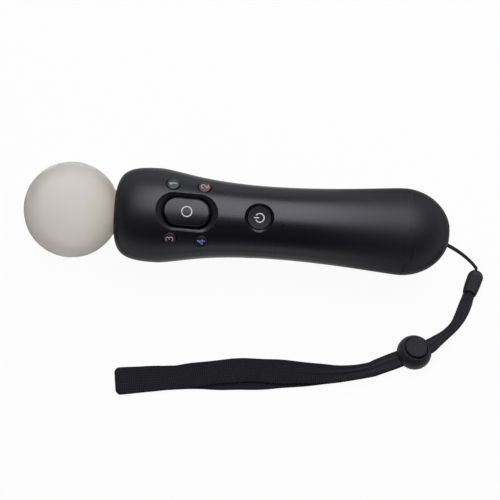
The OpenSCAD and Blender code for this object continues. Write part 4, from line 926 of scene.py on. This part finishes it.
# %% Front buttons
def button_rings(outline_at, top_at, wall_z, edge, reach, n_top):
    """Rings of a button: wall from wall_z to the top less the edge, the rounded edge, then inwards over the
    top. outline_at(inset) gives the flat ring and top_at(p, q) the height of the top."""
    base = outline_at(0.0)
    rings = [np.column_stack([base, np.full(len(base), wall_z)]),
             np.column_stack([base, (wall_z + top_at(*base.T) - edge) / 2])]
    steps = [(edge * (1 - np.cos(a)), edge * (1 - np.sin(a))) for a in np.radians(np.linspace(0, 90, 7))]
    for inset, drop in steps + [(inset, 0.0) for inset in np.linspace(edge, reach, n_top)[1:]]:
        flat = outline_at(inset)
        rings.append(np.column_stack([flat, top_at(*flat.T) - drop]))
    return np.array(rings)


def turned_about(p, x0, turn, q0):
    """Opening frame (p, q, height) to the wand frame."""
    return (p + np.array([x0, q0, 0])) @ turned_axes(turn)


def button_piece(kind, rings, place, body, finish=button_black, number=""):
    """A button on its body, turned into its place (x, turn, q)."""
    make_piece(f"button_{kind}{number}", *loft(lie(turned_about(rings, *place))), body,
               [f"{kind}_button{number}"], "button_plastic", finish)


def half_round(length, width, edge, arc):
    """Outline with half-round ends, as a function of its inset."""
    return lambda i: rounded_ring(length / 2 - i, width / 2 - i, width / 2 - i, edge, arc)


def round_outline(radius):
    """Round outline as a function of its inset."""
    return lambda i: rounded_ring(radius - i, radius - i, radius - i - 1e-6, 1, 15)


def oval_top(p, q):
    """The oval's top lies 0.05 mm over the housing's own curve."""
    return np.sqrt((skin_radius(p + OVAL_X) + 0.05) ** 2 - q**2)


def action_dome(x, q, ball=16):
    """Height of an action button's top, a shallow part of a large ball: h - R + sqrt(R^2 - p^2 - w^2)."""
    high = np.sqrt(skin_radius(x) ** 2 - q**2) + 0.7
    return lambda p, w: high - ball + np.sqrt(ball**2 - p**2 - w**2)


home_high, home_hollow = dish_level + 0.15, 0.5
home_ball = (HOME_R**2 + home_hollow**2) / (2 * home_hollow)


def home_top(p, q):
    """Dished top: the inside of a large ball, half a millimetre deep."""
    return home_high + home_ball - home_hollow - np.sqrt(home_ball**2 - np.minimum(p**2 + q**2, HOME_R**2))


oval_place, home_place = (OVAL_X, 0, 0), (HOME_X, 0, 0)
rings = button_rings(half_round(OVAL_L, OVAL_W, 22, 24), oval_top, 12.4, 0.9, OVAL_W / 2 - 0.004, 26)
button_piece("oval", rings, oval_place, "oval")
for number, (x, turn, q) in enumerate(action_place, 1):
    dome = action_dome(x, q)
    rings = button_rings(round_outline(ACTION_R), dome, dome(0, 0) - 4.4, 0.4, ACTION_R - 0.05, 8)
    button_piece("action", rings, (x, turn, q), f"action_{number}", action_grey, f"_{number}")
rings = button_rings(round_outline(HOME_R), home_top, home_high - 4.0, 0.3, HOME_R - 0.05, 10)
button_piece("home", rings, home_place, "home", home_black)


# %% Side buttons
def side_top(p, w):
    """The side buttons' tops stand 0.1 mm proud and fall slightly to their edges."""
    return side_skin + 0.1 - 0.02 * p**2 - 0.03 * w**2


side_skin = np.sqrt(skin_radius(SIDE_X) ** 2 - SIDE_DROP**2)
rings = button_rings(half_round(SIDE_L, SIDE_W, 6, 10), side_top, side_skin - 3.0, 0.4, SIDE_W / 2 - 0.05, 6)
for side_y, kind in ((1, "select"), (-1, "start")):
    button_piece(kind, rings, (SIDE_X, side_y * np.pi / 2, side_y * SIDE_DROP), kind)

# %% [markdown]
# ## Printed signs
# The signs are pad-printed ink a few hundredths of a millimetre thick, silky and slightly uneven in cover.
# Plain numerals stand on the action buttons, a ring on the oval button and a power sign on the home button. A
# sign is a set of strokes: a line of points in the button's plane, given a width, rounded ends and the height
# of the button's top under it.

# %% Strokes
INK_RISE, INK_SUNK = 0.03, 0.05


def stroke(line, width, top_at):
    """A printed stroke along (right, up) points: a ribbon with round ends that follows the button's top."""
    line = np.asarray(line, float)
    d = unit(np.gradient(line, axis=0))
    a = np.radians([80, 55, 25])
    first = line[0] - np.sin(a)[:, None] * d[0] * width / 2
    last = line[-1] + np.sin(a[::-1])[:, None] * d[-1] * width / 2
    line = np.concatenate([first, line, last])
    half = np.concatenate([np.cos(a), np.ones(len(d)), np.cos(a[::-1])])[:, None] * width / 2
    d = np.concatenate([d[[0] * 3], d, d[[-1] * 3]])
    across = np.stack([-d[:, 1], d[:, 0]], -1)
    left, right = line + half * across, line - half * across
    corners = np.stack([left, right, right, left], 1)
    # the wand's head is up for the reader, so up is -x and right is +y
    p, q = -corners[..., 1], corners[..., 0]
    return np.stack([p, q, top_at(p, q) + [INK_RISE, INK_RISE, -INK_SUNK, -INK_SUNK]], -1)


def arc_line(centre, radius, start, stop, n):
    """Points on a circle between two angles in degrees."""
    a = np.radians(np.linspace(start, stop, n))
    return np.stack([centre[0] + radius * np.cos(a), centre[1] + radius * np.sin(a)], -1)


def straight(a, b, n=8):
    """Points on a line from a to b."""
    return np.array(a) + np.linspace(0, 1, n)[:, None] * (np.array(b) - np.array(a))


def printed(name, strokes, place, body, finish):
    """Joins the strokes of one sign to a piece, turned into the place of its button."""
    points, faces, count = [], [], 0
    for rings in strokes:
        p, f = loft(lie(turned_about(rings, *place)))
        points.append(p)
        faces += [g + count for g in f]
        count += len(p)
    make_piece(name, np.concatenate(points), faces, body, [], "button_plastic", finish)


def ink(tone, dark, light):
    """Pad-printed ink of a tone."""
    return mottled(f"ink_pad_printed_{tone}", dark, light, (0.4, 0.55), 0.3, 0.006, Specular_IOR_Level=0.4)


# %% Prints
numerals = [
    [straight((-0.55, 0.75), (0.1, 1.4)), straight((0.1, 1.4), (0.1, -1.4), 14)],
    [smooth_route([(-0.8, 0.75), (-0.5, 1.25), (0, 1.4), (0.55, 1.2), (0.8, 0.7), (0.6, 0.15), (0, -0.55),
                   (-0.8, -1.4)], 6),
     straight((-0.8, -1.4), (0.85, -1.4))],
    [smooth_route([(-0.75, 1.1), (-0.2, 1.4), (0.4, 1.3), (0.7, 0.8), (0.45, 0.25), (-0.15, 0.05)], 6),
     smooth_route([(-0.15, 0.05), (0.5, -0.1), (0.85, -0.65), (0.5, -1.25), (-0.15, -1.42),
                   (-0.8, -1.1)], 6)],
    [straight((0.4, -1.4), (0.4, 1.4), 14), straight((0.4, 1.4), (-0.9, -0.55), 12),
     straight((-0.9, -0.55), (0.95, -0.55))]]
NUMERAL_SCALE, NUMERAL_LINE, SIGN_LINE = 1.15, 0.48, 0.55
ink_tones = [("teal", "#62b8ae", "#84d2c8"), ("red", "#cf7470", "#e69088"), ("mauve", "#b8869e", "#d09fb6"),
             ("blue", "#6f80cc", "#8f9ee4")]
for number, ((x, turn, q), lines, tones) in enumerate(zip(action_place, numerals, ink_tones), 1):
    strokes = [stroke(NUMERAL_SCALE * line, NUMERAL_LINE, action_dome(x, q)) for line in lines]
    printed(f"print_action_{number}", strokes, (x, turn, q), f"action_{number}", ink(*tones))
white_ink = ink("white", "#c9c9cb", "#e6e6e8")
oval_ring = [arc_line((0, 0), 2.3, 0, 360, 64)]
power_sign = [arc_line((0, -0.2), 2.0, 125, 415, 56), straight((0, 0.4), (0, 2.4))]
for body, lines, top_at, place in (("oval", oval_ring, oval_top, oval_place),
                                   ("home", power_sign, home_top, home_place)):
    printed(f"print_{body}", [stroke(line, SIGN_LINE, top_at) for line in lines], place, body, white_ink)

# %% [markdown]
# ## The trigger
# The trigger is a lever under the housing. Its finger side dips in the middle and lifts at the tip, a curve
# taken from the solid, and it is slightly crowned across. It is a stack of rings as the buttons are, turned
# over.

# %% Trigger
TABLE, TIP = -HEAD_R, PIVOT_X + TRIGGER_REACH
TRIGGER_L, CORNER_R, CROWN = TRIGGER_BACK + TRIGGER_REACH, 2.5, 0.5
EDGE_N, ARC_N = 16, 12
finger = np.concatenate([
    [[PIVOT_X - 4.2, TABLE + 3.4], [PIVOT_X - 3.4, TABLE + 2.2]],
    bezier((PIVOT_X - 2.4, TABLE + 1.1), (PIVOT_X + 10, TABLE + 4), (TIP - 12, TABLE + 3.4),
           (TIP - 2.6, TABLE + 1.5), 60),
    bezier((TIP - 2.6, TABLE + 1.5), (TIP - 0.4, TABLE + 1.2), (TIP + 0.1, TABLE + 2.0),
           (TIP + 0.2, TABLE + 3.2), 20)[1:]])
trigger_mid, trigger_by = PIVOT_X - TRIGGER_BACK + TRIGGER_L / 2, TRIGGER_W / 2


def trigger_outline(inset):
    """Square end with small corners towards the head, half-round end at the tip."""
    bx, by = TRIGGER_L / 2 - inset, trigger_by - inset
    small = rounded_ring(bx, by, min(max(CORNER_R - inset, 0.02), by - 1e-6), EDGE_N, ARC_N)
    large = rounded_ring(bx, by, by - 1e-6, EDGE_N, ARC_N)
    return np.where(small[:, :1] < 0, small, large)


def strip_end(faces, edge, arc):
    """Closes a loft of long rounded rings by quads between its two long sides and a small face at each end,
    so that a curved middle line shades smoothly."""
    ring, half = faces[-1][0], 2 * arc + edge - 1
    upper, lower = ring[:half], ring[half + edge - 1 : 2 * half + edge - 1][::-1]
    strip = np.stack([upper[:-1], upper[1:], lower[1:], lower[:-1]], -1)
    ends = ring[half - 1 : half + edge], np.append(ring[2 * half + edge - 2 :], ring[0])
    return [*faces[:-1], strip, *(end[None] for end in ends)]


def trigger_low(p, q):
    """The finger side, turned over: its curve along the lever and a crown of (q / half width)^2."""
    z = np.interp(p + trigger_mid, finger[:, 0], finger[:, 1])
    return -(z + CROWN * (q / trigger_by) ** 2)


rings = button_rings(trigger_outline, trigger_low, -(PIVOT_Z - 0.5), 1.0, trigger_by - 0.004, 16)
rings = np.stack([rings[..., 0] + trigger_mid, -rings[..., 1], -rings[..., 2]], -1)
points, faces = loft(lie(rings))
make_piece("trigger_lever", points, strip_end(faces, EDGE_N, ARC_N), "trigger_lever", ["trigger"],
           "button_plastic", button_black)

# %% [markdown]
# ## The ball
# The ball is a hollow moulding of soft white silicone. Light enters it and comes out nearby, so its shadow
# side stays pale: part of it scatters under the skin and part passes the hollow ball through its rough wall.
# A faint warm tint lies where it meets the head.

# %% Silicone finish
silicone, tree, shader, where = start_finish(
    "silicone_white_matte", Roughness=0.86, Subsurface_Weight=0.55, Subsurface_Scale=0.02,
    Subsurface_Radius=(1.0, 0.96, 0.9), Transmission_Weight=0.7, Specular_IOR_Level=0.35, IOR=1.27)
grain(tree, shader, where, 0.9, 0.01, 3.0)
along = add(tree, "ShaderNodeSeparateXYZ", {}, {0: where}).outputs[0]
near_head = add(tree, "ShaderNodeMapRange", {"From Min": SHIFT + 8, "From Max": SHIFT + 21, "To Max": 0.8},
                {"Value": along}).outputs[0]
two_tone(tree, shader, near_head, "#e3dfdb", "#d2cab8")

# %% Ball mesh
NECK_R, NECK_X = RIM_R - 0.3, 24.8
a = np.linspace(np.pi - 0.004, np.arcsin(NECK_R / BALL_R) + 0.02, 90)
profile = np.concatenate([np.stack([BALL_R * np.sin(a), BALL_R * np.cos(a)], -1),
                          [[NECK_R + 0.02, 20.4], [NECK_R, 21.2], [NECK_R, NECK_X], [6.0, NECK_X]]])
rings = turned_rings(profile, 180)[..., ::-1]
make_piece("ball_silicone_skin", *loft(lie(rings)), "wand", ["light_sphere"], "ball_silicone", silicone)

# %% [markdown]
# ## The strap lock
# A cup with a sprung button inside: the webbing passes through both, and the spring clamps it. Both are
# turned shapes with rounded edges. They roll on the soft strap by 19.5 degrees and loll along it by 17, as
# they fell. The cup's two slots are openings in its wall, made like those of the housing.

# %% Strap lock
LOLL, ROLL, EASE = np.radians(-17.0), np.radians(19.5), np.array([0.3, 0.65])


def lock_frame(p):
    """Lock frame to the table frame: loll along the strap, roll about it, then turn to its heading."""
    x, y, z = p[..., 0], p[..., 1], p[..., 2]
    x, z = x * np.cos(LOLL) + z * np.sin(LOLL), z * np.cos(LOLL) - x * np.sin(LOLL)
    y, z = y * np.cos(ROLL) - z * np.sin(ROLL), y * np.sin(ROLL) + z * np.cos(ROLL)
    return set_down(x, y, z, LOCK_AT + EASE, LOCK_TURN, LOCK_Z)


BORE_R, BORE_TOP, LOW, SPAN = 5.62, 2.3, LOCK_BASE - 0.3, 8
barrel = smooth_route([[0.01, LOW], [3.5, LOW + 0.03], [5.5, LOW + 0.4], [7.0, LOW + 1.6], [7.95, LOW + 3.2],
                       [8.3, -0.9], [8.2, 0.9], [7.8, 2.3], [7.15, 3.4], [6.5, 4.1], [5.95, 4.35],
                       [5.66, 4.15]], SPAN)
row = np.arange(len(barrel))
flank = barrel[(row >= 3 * SPAN) & (row <= 8 * SPAN)]
# the inside follows the barrel's foot, then the bore, and ends below the rim
bore_r = np.where(row >= 5 * SPAN, BORE_R, np.minimum(0.78 * barrel[:, 0], BORE_R))
bore_z = np.where(row > 7 * SPAN, BORE_TOP + 0.02 * (row - 7 * SPAN), np.maximum(barrel[:, 1], LOCK_FLOOR))


def barrel_side(p, q):
    """Distance of the barrel's skin from the middle along the strap: sqrt(R(q)^2 - p^2)."""
    return np.sqrt(np.maximum(1, np.interp(q, flank[:, 1], flank[:, 0]) ** 2 - p**2))


slots = [opening([[0, e, 0], [0, 0, 1], [e, 0, 0]], (0, high), (4.3, 2.05, 1.0), hole_steps(0.3, 2.0),
                 barrel_side) for e, high in ((1.0, -1.7), (-1.0, 0.6))]
inside = turned_rings(np.stack([bore_r, bore_z], -1), 170)
points, faces = pierced_shell(turned_rings(barrel, 170), slots, inside)
make_piece("lock_cup", lock_frame(points), faces, "strap_lock", ["lock_body"], "grey_plastic", grey_abs)

# %% Lock button
button_grey = mottled("abs_grey_fine_textured", "#131118", "#1d1a26", (0.5, 0.64), SPARK_SIZE, SPARK_HEIGHT,
                      Specular_IOR_Level=0.27)
TOP, ASIDE = 5.6, 0.17
face = smooth_route([[5.15, -1.4], [5.3, -1.2], [5.35, 1.0], [5.35, 2.6], [5.25, TOP - 1.0],
                     [5.17, TOP - 0.4], [5.0, TOP - 0.1], [4.7, TOP], [4.3, TOP - 0.02],
                     [2.0, TOP - 0.1], [0.05, TOP - 0.12]], 5)
# from below the button is hollow, so that the spring has room when it is pressed
hollow = [[0.05, 0.1], [4.5, 0.1], [4.7, 0.05], [4.75, -0.1], [4.75, -1.25], [4.85, -1.38]]
# the button is pressed straight while the cup lolls, so it stands off the middle and has room to come across
rings = turned_rings(np.concatenate([hollow, face]), 120) + [ASIDE, 0, 0]
make_piece("lock_button_cap", *loft(lock_frame(rings)), "lock_plunger", ["lock_button"], "grey_plastic",
           button_grey)

# %% [markdown]
# ## The strap
# The cord and the doubled webbing are free, limp pieces of known length,
# drawn along their routes above.

# %% [markdown]
# ## Pieces inside
# What the housing hides keeps its solid and gets a plain finish of its own: boards, cell, motor, springs,
# contacts. A finish has two tones, a spread of roughness, lumps of a size in mm and a metallic share.

# %% Inner finishes
inner_finishes = [
    ("fibreglass_board_green", "#0d3a1c", "#14522a", (0.35, 0.5), 1.2, 0,
     ["led_board", "main_board", "connector_board"]),
    ("steel_plated", "#9c9ca0", "#b6b6ba", (0.25, 0.4), 0.8, 1,
     ["trigger_pin", "trigger_spring", "rumble_motor", "usb_socket", "case_screws", "board_screws",
      "strap_bar", "lock_spring"]),
    ("brass_gilt", "#b08a42", "#cfa85a", (0.22, 0.36), 0.8, 1,
     ["rumble_weight", "ext_contacts", "charge_contacts"]),
    ("epoxy_black", "#0e0e10", "#16161a", (0.45, 0.6), 0.5, 0, ["board_chips", "ext_connector"]),
    ("silicone_rubber_dark", "#18181a", "#242427", (0.6, 0.75), 0.7, 0, ["button_mat", "trigger_pad"]),
    ("abs_grey_plain", "#2a2a2d", "#38383c", (0.45, 0.6), 0.6, 0, ["inner_frame", "side_switches"]),
    ("abs_white_plain", "#d8d8d4", "#e4e4e0", (0.4, 0.55), 0.6, 0, ["sphere_collar", "rgb_led"]),
    ("pvc_sleeve_blue", "#1f4468", "#2a5a86", (0.25, 0.4), 2.0, 0, ["battery"]),
    ("polyimide_film", "#8a4a14", "#a8611f", (0.25, 0.4), 1.0, 0, ["flex_ribbon"])]
for name, dark, light, rough, size, metal, nodes in inner_finishes:
    finish = mottled(name, dark, light, rough, size, 0.01, 2.0, Metallic=metal)
    for node in nodes:
        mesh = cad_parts[node].data
        mesh.materials.clear()
        mesh.materials.append(finish)
    print(name, "on", len(nodes), "nodes")

# %% [markdown]
# ## Table and light
# The table is a wide white surface. The photograph's background is plain white, so the table shows the
# camera, and anything that mirrors it, a white that hardly darkens in the object's shadow. A large soft panel
# hangs over the far side of the wand and gives the long highlight, and the room is pale near the horizon,
# darker overhead and on the left.

# %% Table
TABLE_HALF, GLOW_SHARE = 6, 0.95
table_finish = bpy.data.materials.new("table_white_laminate")
table_finish.use_nodes = True
tree = table_finish.node_tree
tree.nodes.remove(tree.nodes["Principled BSDF"])
paint = add(tree, "ShaderNodeBsdfDiffuse", {"Color": linear("#f4f4f4")}).outputs[0]
glow = add(tree, "ShaderNodeEmission", {"Color": (1, 1, 1, 1), "Strength": 1.0}).outputs[0]
path = add(tree, "ShaderNodeLightPath").outputs
seen = path["Is Camera Ray"]
for kind in ("Is Glossy Ray", "Is Transmission Ray"):
    seen = add(tree, "ShaderNodeMath", {}, {0: seen, 1: path[kind]}, operation="MAXIMUM").outputs[0]
share = add(tree, "ShaderNodeMath", {1: GLOW_SHARE}, {0: seen}, operation="MULTIPLY").outputs[0]
mixed = add(tree, "ShaderNodeMixShader", {}, {0: share, 1: paint, 2: glow})
tree.links.new(mixed.outputs[0], tree.nodes["Material Output"].inputs["Surface"])
mesh = bpy.data.meshes.new("table")
corners = [(x * TABLE_HALF, y * TABLE_HALF, 0) for x, y in ((-1, -1), (1, -1), (1, 1), (-1, 1))]
mesh.from_pydata(corners, [], [(0, 1, 2, 3)])
table = bpy.data.objects.new("table", mesh)
scene.collection.objects.link(table)
mesh.materials.append(table_finish)
print("table", 2 * TABLE_HALF, "m wide")

# %% Room and panel
world = bpy.data.worlds.new("room")
scene.world = world
world.use_nodes = True
tree = world.node_tree
ray = add(tree, "ShaderNodeTexCoord").outputs["Generated"]
right_part, toward, up_part = add(tree, "ShaderNodeSeparateXYZ", {}, {0: ray}).outputs
window = add(tree, "ShaderNodeMapRange", {"From Min": -0.1, "From Max": 0.75}, {"Value": toward},
             interpolation_type="SMOOTHSTEP").outputs[0]
walls = add(tree, "ShaderNodeMix", {6: (0.055, 0.055, 0.062, 1), 7: (0.5, 0.5, 0.51, 1)}, {0: window},
            data_type="RGBA").outputs[2]
low = add(tree, "ShaderNodeMapRange", {"From Min": 0.42, "From Max": 0.0, "To Max": 0.6}, {"Value": up_part},
          interpolation_type="SMOOTHSTEP").outputs[0]
lit_side = add(tree, "ShaderNodeMapRange", {"From Min": -0.9, "From Max": -0.2, "To Min": 0.3},
               {"Value": right_part}).outputs[0]
pale = add(tree, "ShaderNodeMath", {}, {0: low, 1: lit_side}, operation="MULTIPLY").outputs[0]
room = add(tree, "ShaderNodeMix", {7: (0.5, 0.5, 0.5, 1)}, {0: pale, 6: walls}, data_type="RGBA").outputs[2]
tree.links.new(room, tree.nodes["Background"].inputs["Color"])
lamp = bpy.data.lights.new("panel_over", "AREA")
lamp.shape, lamp.size, lamp.size_y, lamp.energy = "RECTANGLE", 0.94, 1.32, 11.4
stand(bpy.data.objects.new("panel_over", lamp), (0.12, 0.625, 0.875), (0.12, 0.13, 0.0))
print("panel", round(lamp.size, 2), "by", round(lamp.size_y, 2), "m,", round(lamp.energy, 1), "W")
